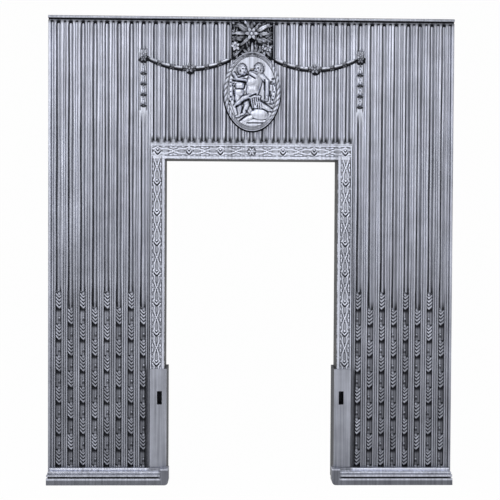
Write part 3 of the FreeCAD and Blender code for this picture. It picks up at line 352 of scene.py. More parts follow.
def burnished_iron(name, plain=None):
    """Cast iron rubbed bright on its high places and left black in its hollows, with painted highlights and
    painted shade in the polish it is given.

    A plain piece brings a function that makes its polish and painted light. Other pieces carry theirs on
    their points.
    """
    finish = Finish(name)
    shine = plain(finish) if plain else finish.polish_and_painted_light()
    streak = finish.noise(1, 4, (210, 210, 5))
    cloud = finish.noise(26, 4)
    grain = finish.noise(900, 2)
    worn = finish.ranged(streak, 0.3, 0.7, 0.7, 1.2)
    worn = finish.math("MULTIPLY", worn, finish.ranged(cloud, 0.3, 0.7, 0.86, 1.1))
    tone = finish.math("MULTIPLY", shine, worn)
    black = (0.01, 0.011, 0.015, 1)
    bright = (0.8, 0.83, 0.95, 1)
    rough = finish.ranged(tone, 0, 1, 0.62, 0.42)
    rough = finish.math("ADD", rough, finish.ranged(grain, 0.3, 0.7, -0.05, 0.05))
    finish.surface(finish.mixed(tone, black, bright), rough, 0.9)
    finish.bump(finish.math("ADD", grain, streak), 0.22, 0.0004)
    return finish.material


def raw_iron(name, dark, light, metallic):
    """Iron as it left the mould or the mill, dull, uneven and a little rusty."""
    finish = Finish(name)
    cloud = finish.noise(18, 6)
    grain = finish.noise(420, 3)
    rust = finish.ranged(finish.noise(9, 7), 0.56, 0.74, 0, 0.45)
    colour = finish.mixed(finish.ranged(cloud, 0.3, 0.7, 0, 1), dark, light)
    colour = finish.mixed(rust, colour, (0.13, 0.065, 0.035, 1))
    finish.surface(colour, finish.ranged(grain, 0.3, 0.7, 0.5, 0.75), metallic)
    finish.bump(grain, 0.5, 0.0006)
    return finish.material


def plate_polish_and_shade(finish):
    """A plain plate with painted shade: darker towards the floor and black behind its front, on its sides
    and in its socket.
    """
    shine = finish.ranged(finish.along("Z"), 0.03, 0.25, 0.42, 0.54)
    return finish.math("MULTIPLY", shine, finish.ranged(finish.along("Y"), -0.0225, -0.019, 1, 0.1))


def plinth_highlight_and_shade(finish):
    """A dull foot with a painted highlight along the edge under the moulding and along the top of its end
    block, and painted shade behind its front.
    """
    height = finish.along("Z")
    edge = finish.ranged(height, 0.0095, 0.0115, 0, 1)
    edge = finish.math("MULTIPLY", edge, finish.ranged(height, 0.0142, 0.0155, 1, 0))
    edge = finish.math("MULTIPLY", edge, finish.ranged(finish.away("X"), 0.188, 0.193, 0, 1))
    edge = finish.math("MAXIMUM", edge, finish.ranged(height, 0.0305, 0.033, 0, 1))
    shine = finish.ranged(edge, 0, 1, 0.22, 0.75)
    return finish.math("MULTIPLY", shine, finish.ranged(finish.along("Y"), -0.03, 0.0, 1, 0.1))


IRON = burnished_iron("burnished_iron")
PLATE = burnished_iron("burnished_plate", plate_polish_and_shade)
PLINTH = burnished_iron("dull_plinth", plinth_highlight_and_shade)
RAW = raw_iron("raw_casting", (0.03, 0.03, 0.033, 1), (0.08, 0.079, 0.08, 1), 0.55)
BAR = raw_iron("rolled_bar", (0.035, 0.034, 0.036, 1), (0.085, 0.08, 0.078, 1), 0.7)
STEEL = raw_iron("dull_steel", (0.2, 0.195, 0.19, 1), (0.32, 0.315, 0.31, 1), 0.9)


# Edges that turn by more than a crease, in degrees, stay sharp
ORNAMENT_CREASE = 60
PANEL_CREASE = 38
MOULDING_CREASE = 30


def cast(skin, node, crease=ORNAMENT_CREASE, finishes=(IRON,)):
    """Makes the piece that stands for one cast node."""
    name = f"{node}_cast"
    mesh = bpy.data.meshes.new(name)
    mesh.from_pydata((np.concatenate(skin.points) * MM).tolist(), [], skin.faces)
    # The polish on the points mixes the rubbed polish of the iron with painted shade and painted highlights.
    polish_and_painted_light = mesh.attributes.new("polish_and_painted_light", "FLOAT", "POINT")
    polish_and_painted_light.data.foreach_set("value", np.concatenate(skin.polish_and_painted_light).astype(np.float32))
    mesh.polygons.foreach_set("material_index", skin.kinds)
    for finish in finishes:
        mesh.materials.append(finish)
    welded = bmesh.new()
    welded.from_mesh(mesh)
    bmesh.ops.remove_doubles(welded, verts=welded.verts, dist=2e-6)
    bmesh.ops.dissolve_degenerate(welded, edges=welded.edges, dist=1e-7)
    welded.to_mesh(mesh)
    welded.free()
    mesh.shade_smooth()
    mesh.set_sharp_from_angle(angle=math.radians(crease))
    piece = placed(name, mesh)
    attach(piece, "root")
    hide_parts(node)


def cast_front(node, x, z, height, polish_and_painted_light, plane, side_polish_and_shade=0.5):
    """Makes a casting with a finely modelled front and the plain back of its node."""
    skin = Skin()
    skin.relief(x, z, height, polish_and_painted_light, plane, SEAM, side_polish_and_shade)
    skin.behind(node, SEAM, 1)
    cast(skin, node, PANEL_CREASE, (IRON, RAW))


# Husks along a chain. In every second chain the first husk begins half a pitch lower.
CHAINS = 8
HUSK_PITCH = 66.8
FIRST_HUSK = 3.5


def flute_centres(side):
    """Middles of the chains that lie in a jamb's flutes."""
    return [middle_of(f"{side}_husk_chain_{column + 1}")[0] for column in range(CHAINS)]


def chain_start(column):
    """How far under the chains' top the first husk of a column begins."""
    return FIRST_HUSK + HUSK_PITCH / 2 * (column % 2)


JAMB_FLUTES = {side: flute_centres(side) for side in SIDES}
PITCH = abs(JAMB_FLUTES["left"][1] - JAMB_FLUTES["left"][0])

# Fine lines between the flutes, the rods that a worn casting shows, and the pits over flutes and lands
REED_AWAY = 10.4
REED_HALF = 1.3
REED_DEPTH = 1.4
ROD_SHOWN = 3.1
PIT_DROP = 0.9
PIT_DEPTH = 2.0
HEAD_PIT = 5.4, 3.1
LAND_PIT = 3.6, 2.2


class Flute:
    """One uneven flute. Each of its runs has a low end, a top and the height where its rod begins."""

    def __init__(self, centre, runs, chance):
        self.centre = centre
        self.runs = runs
        self.shift = chance.uniform(-0.6, 0.6)
        self.rod = ROD_SHOWN + chance.uniform(-0.3, 0.4)
        self.depths = chance.uniform(0.75, 1.0), chance.uniform(0.4, 0.7)
        # painted shade in the gaps beside the rod, mostly deeper on the left, where the light from the left
        # leaves it in shadow
        strong, weak = chance.uniform(0.45, 0.85), chance.uniform(0.1, 0.45)
        self.painted_shade = (strong, weak) if chance.uniform() < 0.87 else (weak, strong)
        self.phase = chance.uniform(0, 6)
        self.reeds = [centre + sign * (REED_AWAY + chance.uniform(-0.4, 0.4)) for sign in (-1, 1)]
        self.reed_shade = chance.uniform(0.15, 0.5, 2)

    def columns(self):
        """Places across, close together where the walls are steep."""
        near = self.centre + np.arange(-7.2, 7.21, 0.4)
        fine = [reed + away for reed in self.reeds for away in np.arange(-1.5, 1.51, 0.5)]
        return [*near, *fine, self.centre + PITCH / 2]

    def carve(self, height, painted_shade, x, z):
        """The height and the painted shade of a front into which this flute is cut, with the fine lines
        beside it.
        """
        top = FLUTE_HEAD - PIT_DROP
        chain_zone = fall(z, CHAIN_TOP - 30, CHAIN_TOP + 60)
        # painted shade in the fine lines, deeper over the chains
        for reed, amount in zip(self.reeds, self.reed_shade):
            line = np.clip(1 - to_line(x, z, reed, self.runs[0][0], top) / REED_HALF, 0, 1)
            height = np.minimum(height, -REED_DEPTH * line)
            painted_shade = np.maximum(painted_shade, smooth(line, 0, 0.8) * (amount + (0.65 - amount) * chain_zone))
        # the pits over the flute heads and the lands carry a painted shadow
        for aside, (half, tall) in ((-PITCH / 2, LAND_PIT), (0, HEAD_PIT), (PITCH / 2, LAND_PIT)):
            pit = fall(np.hypot((x - self.centre - aside) / half, (z - top) / tall), 0.5, 1.1)
            height = np.minimum(height, -PIT_DEPTH * pit)
            painted_shade = np.maximum(painted_shade, 0.9 * pit)
        uneven = 0.85 + 0.15 * np.sin(z / 47 + self.phase)
        uneven = uneven * (1 - 0.4 * smooth(z, BORDER_TOP, TOP - 30))
        for low, high, rod_low in self.runs:
            rod_high = high - ROD_GAP + FLUTE_HALF - self.rod
            left = x < self.centre + self.shift
            beside = np.where(left, *self.depths)
            rod_end = rod_high + self.rod
            open_run = fall(z, rod_low - 6, rod_low + 18) + smooth(z, rod_end - 2, rod_end)
            beside = beside + (1 - beside) * np.clip(open_run, 0, 1)
            # wider over the chains, narrower at its head
            narrow = 0.9 * smooth(z, high - 6, high + 4)
            narrow = narrow - 1.1 * fall(z, CHAIN_TOP - 20, CHAIN_TOP + 30)
            away = to_line(x, z, self.centre, low, high + 1)
            wall = fall(away, WALL_FOOT - narrow, WALL_TOP - narrow)
            # a flute that ends under the hanging drop dies away there
            if high < FLUTE_TOP:
                wall = wall * fall(z, high - 18, high + 4)
            height = np.minimum(height, -FLUTE_DEPTH * beside * wall)
            away = to_line(x, z, self.centre + self.shift, rod_low + self.rod, rod_high)
            lying = dome(away, self.rod, ROD_RISE) - FLUTE_DEPTH
            covered = away < self.rod
            # painted shade in the gaps beside the rod
            gap = wall * fall(self.rod - away, -0.2, 1.3)
            painted_shade = np.maximum(painted_shade, gap * np.where(left, *self.painted_shade) * uneven)
            height = np.where(covered, np.maximum(height, lying), height)
        return height, painted_shade


def spaced(values, least=0.12):
    """Sorted values with none closer together than the least step."""
    kept = []
    for value in sorted(values):
        if not kept or value - kept[-1] > least:
            kept.append(value)
    return np.array(kept)


def panel_grid(node, flutes, extra, heads):
    """Places across and up a panel, close together at the flutes, at their heads and along the top edge."""
    box_low, box_high = node_box(node)
    low, high, foot = box_low[0], box_high[0], box_low[2]
    across = {low, high, *extra}
    for flute in flutes:
        across.update(flute.columns())
    up = {foot, TOP, *np.arange(foot, TOP, 15)}
    for head in heads:
        up.update(np.arange(head - 9, head + 9, 0.75))
    quirk_low = BEAD_LOW - QUIRK_HEIGHT
    up.update((BEAD_LOW - 0.02, BEAD_LOW - 0.3, quirk_low - 0.25, quirk_low + 0.02))
    up.update(TOP - BEAD_HEIGHT / 2 * (1 - np.cos(np.linspace(0, math.pi, 15))))
    across = spaced([value for value in across if low <= value <= high])
    up = spaced([value for value in up if foot <= value <= TOP], 0.015)
    return np.meshgrid(across, up)


def carved(flutes, x, z):
    """Height and painted shade of a plain front with flutes cut into it."""
    height, painted_shade = np.zeros_like(x), np.zeros_like(x)
    for flute in flutes:
        height, painted_shade = flute.carve(height, painted_shade, x, z)
    return height, painted_shade


def top_edge(height, z):
    """The bead along the top and the quirk under it."""
    height = np.where((z > BEAD_LOW - QUIRK_HEIGHT) & (z < BEAD_LOW), -QUIRK_DEPTH, height)
    bead = dome(z - TOP + BEAD_HEIGHT / 2, BEAD_HEIGHT / 2, BEAD_HEIGHT / 2)
    return np.where(z >= BEAD_LOW, bead, height)


def wavered(x, z):
    """The slight waver of hand-rubbed castings, which dies away at the sides and over the chains."""
    low, high = x[0, 0], x[0, -1]
    swing = np.sin(z / 71 + x * 0.19) + 0.7 * np.sin(z / 33 + x * 0.31 + 1.3)
    hold = smooth(x, low, low + 14) * fall(x, high - 14, high)
    return x + 0.32 * swing * hold * smooth(z, CHAIN_TOP, CHAIN_TOP + 90)


def panel_polish_and_shade(height, painted_shade, z, foot):
    """Bright fronts and painted shade: dark hollows, a painted shadow band and a black quirk under the bead,
    a darker band near the top, a darker bead with a darker top, and darker towards the floor.
    """
    end = np.maximum(smooth(z, FLUTE_HEAD - 7, FLUTE_HEAD - 4.5), fall(z, foot + 5, foot + 8))
    # painted shade in the hollows, deepest over the chains and at the flute ends
    hollow = 0.16 + 0.12 * smooth(z, BORDER_TOP + 60, TOP - 50)
    hollow = hollow * smooth(z, CHAIN_TOP - 20, CHAIN_TOP + 60) * (1 - end) + 0.05
    polish_and_painted_light = hollow + (0.7 - hollow) * smooth(height, -3.9, -0.9 + 0.6 * end)
    polish_and_painted_light = (polish_and_painted_light + 0.08 * smooth(height, -0.9, -0.2)) * (1 - painted_shade)
    shadowed = smooth(z, FLUTE_HEAD - 6.5, FLUTE_HEAD) * (z < BEAD_LOW)
    darker_near_top = smooth(z, FLUTE_HEAD - 45, FLUTE_HEAD - 16) * (z < BEAD_LOW)
    polish_and_painted_light = polish_and_painted_light * (1 - 0.6 * shadowed) * (1 - 0.11 * darker_near_top)
    # the quirk under the bead is painted black as the bead's shadow
    quirk = (z > BEAD_LOW - QUIRK_HEIGHT - 0.1) & (z < BEAD_LOW + 0.4)
    polish_and_painted_light = np.where(quirk, DEEPEST_SHADE, polish_and_painted_light)
    return polish_and_painted_light * floorward_shade(z) * (1 - 0.17 * (z > BEAD_LOW)) * (1 - 0.45 * smooth(z, TOP - 2.5, TOP - 0.5))


# Lines up a jamb: how far they are from its outer edge, from its joint with the border and from the drop
RIM_GROOVE = 6.5
RIM_RIB = 10.2
PLATE_LINE = 7.8
JOINT_QUIRK = 1.95
DROP_LINE = 6.6

# Places across where a jamb changes quickly, counted from its outer edge and from the joint
RIM_COLUMNS = (0, 0.3, 0.8, 1.5, 4.6, 5, 6.5, 8, 8.4, 9, 9.8, 10.6, 11.4, 12, 12.4)
JOINT_COLUMNS = (0, 1.9, 2, 2.4, 3.2, 7, 7.6, 8.2)


def jamb_flutes(side, field_low, field_top, chance):
    """The flutes of a jamb. The innermost leaves out the field behind the hanging drop."""
    flutes = []
    for column, centre in enumerate(JAMB_FLUTES[side]):
        rod_low = CHAIN_TOP - chain_start(column)
        runs = [(0, FLUTE_TOP, rod_low)]
        if centre == min(JAMB_FLUTES[side], key=abs):
            runs = [(0, field_low - FLUTE_HALF, rod_low), (field_top + FLUTE_HALF, FLUTE_TOP, field_top + 2)]
        flutes.append(Flute(centre, runs, chance))
    return flutes


def strip_shade(side, x, z):
    """Painted shade on the strip beside the border, thicker beside the slot plate, where a painted shadow
    line runs up it.
    """
    away = np.abs(x) - JOINT
    plate_top = node_box(f"{side}_slot_plate")[1][2]
    beside_plate = fall(z, plate_top - 8, plate_top + 4)
    amount = 0.22 + 0.2 * fall(z, CHAIN_TOP + 40, CHAIN_TOP + 110) + 0.15 * beside_plate
    painted_shade = np.maximum(fall(away, 5, 9) * amount, 0.55 * fall(away, 1.8, 3))
    line = fall(np.abs(away - PLATE_LINE), 0.9, 2.2) * beside_plate
    return np.maximum(painted_shade, 0.92 * line) * fall(z, BORDER_TOP, BORDER_TOP + 50)


def jamb(side, sign, chance):
    """A fluted panel beside the opening, with a groove and a rib along its outer edge."""
    node = f"{side}_jamb_panel"
    field_top = node_box(f"{side}_rosette")[1][2] + 0.3
    field_low = node_box(f"{side}_husk_drop")[0][2] - 7
    flutes = jamb_flutes(side, field_low, field_top, chance)
    columns = [JAMB_OUT - away for away in RIM_COLUMNS] + [JOINT + away for away in JOINT_COLUMNS]
    heads = [FLUTE_HEAD - 4, field_top, field_low, CHAIN_TOP]
    x, z = panel_grid(node, flutes, [sign * column for column in columns], heads)
    height, painted_shade = carved(flutes, x, z)
    # fine lines beside the hanging drop, with painted shade in them
    field = smooth(z, field_low - 4, field_low + 2) * fall(z, field_top - 2, field_top + 4)
    drop = min(JAMB_FLUTES[side], key=abs)
    for away in (-DROP_LINE, DROP_LINE):
        line = field * np.clip(1 - np.abs(x - drop - away) / 1.6, 0, 1)
        height = height - 0.9 * line
        painted_shade = np.maximum(painted_shade, 0.65 * smooth(line, 0, 0.7))
    painted_shade = np.maximum(painted_shade, strip_shade(side, x, z))
    outer = JAMB_OUT - np.abs(x)
    groove = 3.0 * np.clip(1 - np.abs(outer - RIM_GROOVE) / 1.6, 0, 1)
    rib = dome(outer - RIM_RIB, 2.0, 0.9)
    height = height + np.where(z < FLUTE_HEAD + 1, rib - groove, 0)
    height = np.where((z < BORDER_TOP) & (np.abs(x) < JOINT + JOINT_QUIRK), -1.8, height)
    height = top_edge(height, z) - edge_drop(outer, 1.4)
    cast_front(node, wavered(x, z), z, height, panel_polish_and_shade(height, painted_shade, z, 0), FRONT)


def frieze(chance):
    """The fluted panel over the opening."""
    node = "frieze_panel"
    beside = int(JOINT / PITCH)
    foot = BORDER_TOP + 5 + FLUTE_HALF
    runs = [(foot, FLUTE_TOP, foot - 6)]
    flutes = [Flute(index * PITCH, runs, chance) for index in range(-beside, beside + 1)]
    x, z = panel_grid(node, flutes, [], [FLUTE_HEAD - 4, foot])
    height, painted_shade = carved(flutes, x, z)
    # painted shade over the border, most of all beside the feet of the rods
    shade_over_border = 0.55 - 0.38 * np.cos(4 * math.pi * x / PITCH)
    shade_over_border = shade_over_border * smooth(z, BORDER_TOP + 2, BORDER_TOP + 5)
    painted_shade = np.maximum(painted_shade, shade_over_border * fall(z, BORDER_TOP + 9, BORDER_TOP + 22))
    painted_shade = np.maximum(painted_shade, 0.03 + 0.08 * fall(z, BORDER_TOP + 20, BORDER_TOP + 110))
    height = top_edge(height, z)
    cast_front(node, wavered(x, z), z, height, panel_polish_and_shade(height, painted_shade, z, foot - FLUTE_HALF), FRONT)


chance = np.random.default_rng(5)
for side, sign in SIDES.items():
    jamb(side, sign, chance)
frieze(chance)

# Husks and berries of the chains in the lower flutes
CHAIN_HALF = 6.4
CHAIN_SUNK = 1.5
HUSK_LENGTH = 38.0
HUSK_RISE = 4.4
HUSK_LEAN = 1.9
TIER = 7.4
TIERS = 4
BUD_LENGTH = HUSK_LENGTH - TIER * TIERS
BUD_HALF = 5.0
BUD_RADIUS = 6.5
STEM_HALF = 1.6
BERRY_RADIUS = 3.0
BERRY_RISE = 4.6
BERRY_DROP = HUSK_LENGTH + 0.58 * (HUSK_PITCH - HUSK_LENGTH)


def husk_chain(node, start, sign, chance):
    """A strip of laurel husks under a rod, each a bud over four tiers of leaves, with a berry between husks.

    The husks lean towards the middle of the insert.
    """
    middle = middle_of(node)[0]
    across, z = np.meshgrid(np.linspace(-CHAIN_HALF, CHAIN_HALF, 33), np.linspace(CHAIN_LOW, CHAIN_TOP, 440))
    down = CHAIN_TOP - z - start
    under = np.mod(down, HUSK_PITCH)
    leaned = across + sign * HUSK_LEAN
    away = np.abs(leaned)
    # the ground between the husks, painted black as shadow right under them and lighter on the left, where
    # the light falls, and its stem
    ground_shades = chance.uniform(0.18, 0.62), chance.uniform(0.14, 0.48)
    edges = chance.uniform(0.5, 0.95), chance.uniform(0.15, 0.8)
    bright = chance.uniform(0.9, 1.08) * (0.9 + 0.12 * np.sin(z / 61 + chance.uniform(0, 6)))
    stem = 0.3 + 1.5 * fall(away, STEM_HALF, 2.8)
    polish_and_painted_light = np.where(leaned < 0, *ground_shades) + 0.12 * fall(away, 1.0, 2.4)
    polish_and_painted_light = 0.03 + polish_and_painted_light * smooth(under, HUSK_LENGTH, HUSK_LENGTH + 7)
    # a painted shadow under each berry
    polish_and_painted_light = polish_and_painted_light * (1 - 0.8 * spot(under, BERRY_DROP + 5.2, 2.2) * fall(away, 2.4, 4.4))
    berry = dome(np.hypot(leaned, under - BERRY_DROP), BERRY_RADIUS, BERRY_RISE)
    height = np.maximum(stem, berry)
    # the berry is painted bright on its crown and dark round its foot
    polish_and_painted_light = np.where(berry > stem, 0.15 + 0.75 * smooth(berry, 2.2, 4.4), polish_and_painted_light)
    # tiers of leaves that meet in a V, with painted shade in each gap, darkest in two places along it
    slope = np.where(leaned < 0, 0.95, 0.8)
    tier = (under - BUD_LENGTH + 1 + slope * away) / TIER
    share = tier - np.floor(tier)
    ridge = np.sin(math.pi * np.clip(share * 1.12, 0, 1)) ** 0.7
    leaves = dome(across, 6.6, HUSK_RISE) * 0.62 + 2.6 * ridge - 0.2
    leafy = (tier >= 0) & (tier < TIERS) & (down >= 0)
    height = np.where(leafy, np.maximum(leaves, 1.2), height)
    dark = np.clip(0.68 + 0.4 * spot(leaned, -1.6, 2.2), 0, 0.97) * fall(ridge, 0.35, 0.9)
    # the leaves on the left are painted lighter than those on the right, as the light falls from the left
    polish_and_painted_light = np.where(leafy, bright * np.where(leaned < 0, 0.95, 0.8) * (1 - dark), polish_and_painted_light)
    bud = dome(np.hypot(leaned / BUD_HALF, (under - BUD_HALF) / BUD_RADIUS), 1, HUSK_RISE + 1.6)
    budded = (tier < 0.0) & (bud > stem) & (down >= -1)
    height = np.where(budded, bud, height)
    # the bud is painted bright on its crown and dark round its foot
    polish_and_painted_light = np.where(budded, 0.15 + 0.5 * smooth(bud, 2.0, 5.0), polish_and_painted_light)
    # painted shade along both edges, deeper on the left
    polish_and_painted_light = polish_and_painted_light * (1 - np.where(across < 0, *edges) * smooth(np.abs(across), 4.0, 5.6))
    # a flat bed under the rod that runs down to the first husk
    height = np.where(down < -1, 0.3, height)
    polish_and_painted_light = np.where(down < -1, 0.12, polish_and_painted_light)
    skin = Skin()
    skin.relief(middle + across, z, height, polish_and_painted_light * floorward_shade(z), FLOOR, FLOOR + CHAIN_SUNK, closed=True)
    cast(skin, node)


for side, sign in SIDES.items():
    for column in range(CHAINS):
        husk_chain(f"{side}_husk_chain_{column + 1}", chain_start(column), sign, chance)

# Ribbons, flowers and beads of the border
BORDER_HALF = 15.0
FIELD = FRONT - 0.5
EDGE_BEAD = 3.0
INNER_BAND = 5.6
RIBBON_HALF = 1.75
DIAMOND_REACH = 7.5
DIAMOND_HALF = 9.2
RIBBON_OFFSET = 4.2
CROSS_REACH = 11.0
STILE_PITCH = 64.0
HEAD_FLOWER = 8.5
HEAD_FLOWER_RISE = 1.9


def ribbon_offset(near, half):
    """How far a ribbon lies from the middle line, at a distance from a motif."""
    diamond = DIAMOND_HALF - (DIAMOND_HALF - RIBBON_OFFSET) * near / DIAMOND_REACH
    span = half - CROSS_REACH - DIAMOND_REACH
    bowed = RIBBON_OFFSET + 1.1 * np.sin(math.pi * np.clip((near - DIAMOND_REACH) / span, 0, 1))
    crossing = RIBBON_OFFSET * (half - near) / CROSS_REACH
    return np.where(near < DIAMOND_REACH, diamond, np.where(near < half - CROSS_REACH, bowed, crossing))


def head_flower(away, turn):
    """Height of the six-petalled flower in the middle of the border's head."""
    edge = HEAD_FLOWER * (0.72 + 0.28 * np.cos(6 * turn))
    heart = dome(away, HEAD_FLOWER * 0.28, HEAD_FLOWER_RISE * 1.4)
    petals = dome(away - HEAD_FLOWER * 0.5, np.maximum(edge - HEAD_FLOWER * 0.45, 0.3), HEAD_FLOWER_RISE)
    return np.maximum(petals, heart)


def calyx_gaps(along, across):
    """Depth of the two V-shaped gaps in a small calyx, and of the notches beside its tips."""
    bowl = np.hypot(across, 1.6) - 1.6
    outer = spot(along, 1.25 * bowl - 7.0, 2.4) * fall(np.abs(across), 5.5, 7.5)
    inner = spot(along, 1.6 * bowl + 0.2, 1.7) * fall(np.abs(across), 2.8, 4.2)
    tips = np.exp(-(((along - 0.5) / 2.0) ** 2) - ((np.abs(across) - 8.8) / 1.6) ** 2)
    return np.maximum(np.maximum(outer, inner), 0.8 * tips)


def border_relief(along, inward, to_outer, to_inner, motifs, upright):
    """Height and painted shade of the border: two crossing ribbons, calyxes in diamonds, a bead and a plain
    band.

    The bead runs along the outer edge and the band along the opening, and the distance to each is given.
    All calyxes open upwards.
    """
    across = inward + (INNER_BAND - EDGE_BEAD) / 2
    half = abs(motifs[1] - motifs[0]) / 2
    nearest = np.array(motifs)[np.argmin(np.abs(along[..., None] - np.array(motifs)), -1)]
    near = np.clip(np.abs(along - nearest), 0, half)
    far = half - near
    offset = ribbon_offset(near, half)
    slope = np.where(near < DIAMOND_REACH, 0.83, np.where(near > half - CROSS_REACH, 0.93, 1.0))
    height = np.zeros_like(along)
    for strand in (-1, 1):
        away = np.abs(across - strand * offset) * slope
        ribbon = dome(away, RIBBON_HALF, 1.2) - 0.3 * spot(away, 0, 0.4)
        over = np.where((along > nearest) == (strand > 0), 0.35, 0.0) * smooth(near, half - 6, half - 2)
        height = np.maximum(height, np.where(away < RIBBON_HALF, ribbon + over, 0))
    up, aside = (along - nearest, across) if upright else (-across, along - nearest)
    cup = np.hypot((up + 1.5) / 7.5, aside / 6.5)
    # the gaps of the calyxes are cut and painted dark as shade
    painted_shade = calyx_gaps(up, aside)
    # pits among the crossing ribbons, painted dark as shade
    for back, apart in ((4.2, 0.0), (0.0, 3.6), (10.0, 0.5), (9.0, 7.6)):
        pit = np.hypot((far - back) / 1.8, (np.abs(across) - apart) / 1.4)
        painted_shade = np.maximum(painted_shade, 0.6 * spot(pit, 0, 1))
    # the painted shade in the gap between the ribbons
    gap = spot(across, 0, 1.1) * smooth(near, 8, 10) * smooth(far, 9, 12)
    painted_shade = np.maximum(painted_shade, (0.42 if upright else 0.6) * gap)
    height = np.maximum(height, dome(cup, 1, 1.7)) - 2.0 * painted_shade
    if not upright:
        away = np.hypot(across, along)
        height = np.where(away < HEAD_FLOWER, head_flower(away, np.arctan2(across, along)), height)
        # a painted shadow ring round the flower
        painted_shade = np.where(away < 10, smooth(away, 8, 9) * fall(away, 9, 10), painted_shade)
    # small leaves beside the crossings and curls beside the diamonds
    for strand in (-1, 1):
        leaf = np.hypot((near - half + 5.5) / 4.2, (across - strand * 8.0) / 1.9)
        curl = np.hypot((near - DIAMOND_REACH - 5) / 3.4, (across - strand * DIAMOND_HALF) / 1.5)
        height = np.maximum(np.maximum(height, dome(leaf, 1, 1.5)), dome(curl, 1, 1.2))
    for width, edge, rise in ((EDGE_BEAD, to_outer, 1.5), (INNER_BAND, to_inner, 1.0)):
        bead = rise - edge_drop(np.minimum(edge, width - edge), rise - 0.1)
        height = np.where(edge < width, bead, height - 0.3 * spot(edge, width + 0.3, 0.5))
        painted_shade = np.where(edge < width, 0, painted_shade)
    return np.maximum(height, -2.2), painted_shade


def build_border(node, along, across, upright, inner, motifs):
    """One length of the border, which lies level or stands upright and has the opening on its inner side."""
    along, across = np.meshgrid(along, across, indexing="ij" if upright else "xy")
    middle = middle_of(node)
    to_outer, to_inner = BORDER_HALF + across * inner, BORDER_HALF - across * inner
    if not upright:
        to_outer = np.minimum(to_outer, JOINT - np.abs(along))
        to_inner = np.maximum(to_inner, np.abs(along) - JOINT + 2 * BORDER_HALF)
    height, painted_shade = border_relief(along, across * inner, to_outer, to_inner, motifs, upright)
    # painted shade in the gaps and pits; the head is painted lighter than the stiles, as more light falls on
    # it
    polish_and_painted_light = rubbed_with_hollow_shade(height, 0.95, 0.68 if upright else 0.85) * (1 - 0.95 * smooth(painted_shade, 0.2, 0.7))
    polish_and_painted_light = polish_and_painted_light + (0.95 - polish_and_painted_light) * fall(to_inner, INNER_BAND - 1, INNER_BAND)
    x, z = (middle[0] + across, along) if upright else (along, middle[1] + across)
    # the sides of the border are painted dark as shade
    cast_front(node, x, z, height, polish_and_painted_light, FIELD, 0.09)


def border():
    """The head over the opening and the stile on each side of it."""
    across = np.linspace(-BORDER_HALF, BORDER_HALF, 55)
    low, high = node_box("border_head")
    reach = high[0] - BORDER_HALF
    motifs = list(np.linspace(-reach, reach, 7))
    build_border("border_head", np.linspace(low[0], high[0], 780), across, False, -1, motifs)
    for side, sign in SIDES.items():
        node = f"{side}_border_stile"
        low, high = node_box(node)
        motifs = [high[2] + BORDER_HALF - STILE_PITCH * index for index in range(9)]
        build_border(node, np.linspace(low[2], high[2], 810), across, True, -sign, motifs)


border()

# The oval medallion
RING_WIDTH = 8.5
RING_BASE = 6.0
PLAQUE_FRONT = FRONT - 5.0
TWISTS = 40
SHADOW_REACH = 2.6


def medallion_ring():
    """An oval frame with a bead at each edge and leaves twisting round its two sides, over a black bed that
    reaches out under its lower half as a painted shadow.
    """
    low, high = node_box("medallion_ring")
    centre = middle_of("medallion_ring")
    half, tall = (high[0] - low[0]) / 2, (high[2] - low[2]) / 2
    turn = full_turn(360)[None, :]
    inward = np.linspace(0, 1, 29)[:, None]
    sides = smooth(np.abs(np.cos(turn)), 0.5, 0.85)
    share = np.mod(turn * TWISTS / (2 * math.pi) + 0.9 * inward, 1)
    ridge = np.sin(math.pi * share) ** 0.6
    hollow = 0.5 * (1 - np.abs(2 * inward - 1)) + dome(inward - 0.5, 0.34, 2.2) * sides * ridge
    bead = np.maximum(dome(inward - 0.1, 0.1, 2.6), dome(inward - 0.86, 0.08, 1.4))
    height = RING_BASE + np.maximum(bead, hollow)
    # painted light: brighter where the frame stands higher, painted shade between the twisting leaves
    polish_and_painted_light = np.clip(0.25 + 0.3 * (height - RING_BASE), 0, 1) * (1 - sides * (1 - ridge) * 0.9)
    # a painted shadow along the inner edge of the upper half
    polish_and_painted_light = polish_and_painted_light * (1 - 0.9 * smooth(inward, 0.9, 1.0) * smooth(np.sin(turn), -0.2, 0.6))
    base = np.zeros_like(height[:1])
    # the black bed reaches out under the lower half as a painted shadow
    under = SHADOW_REACH * smooth(-np.sin(turn), -0.5, 0.4)
    inward = np.concatenate([-under / RING_WIDTH, 0 * base, 0 * base, inward + base, 1 + base, 0 * base])
    height = np.concatenate([base, base + 0.4, base + 0.6, height, base, base])
    polish_and_painted_light = np.concatenate([base, base, base, polish_and_painted_light, base, base])
    x = centre[0] + (half - RING_WIDTH * inward) * np.cos(turn)
    z = centre[1] + (tall - RING_WIDTH * inward) * np.sin(turn)
    skin = Skin()
    skin.patch(np.stack([x, FRONT - height, z], -1), polish_and_painted_light, True)
    cast(skin, "medallion_ring")


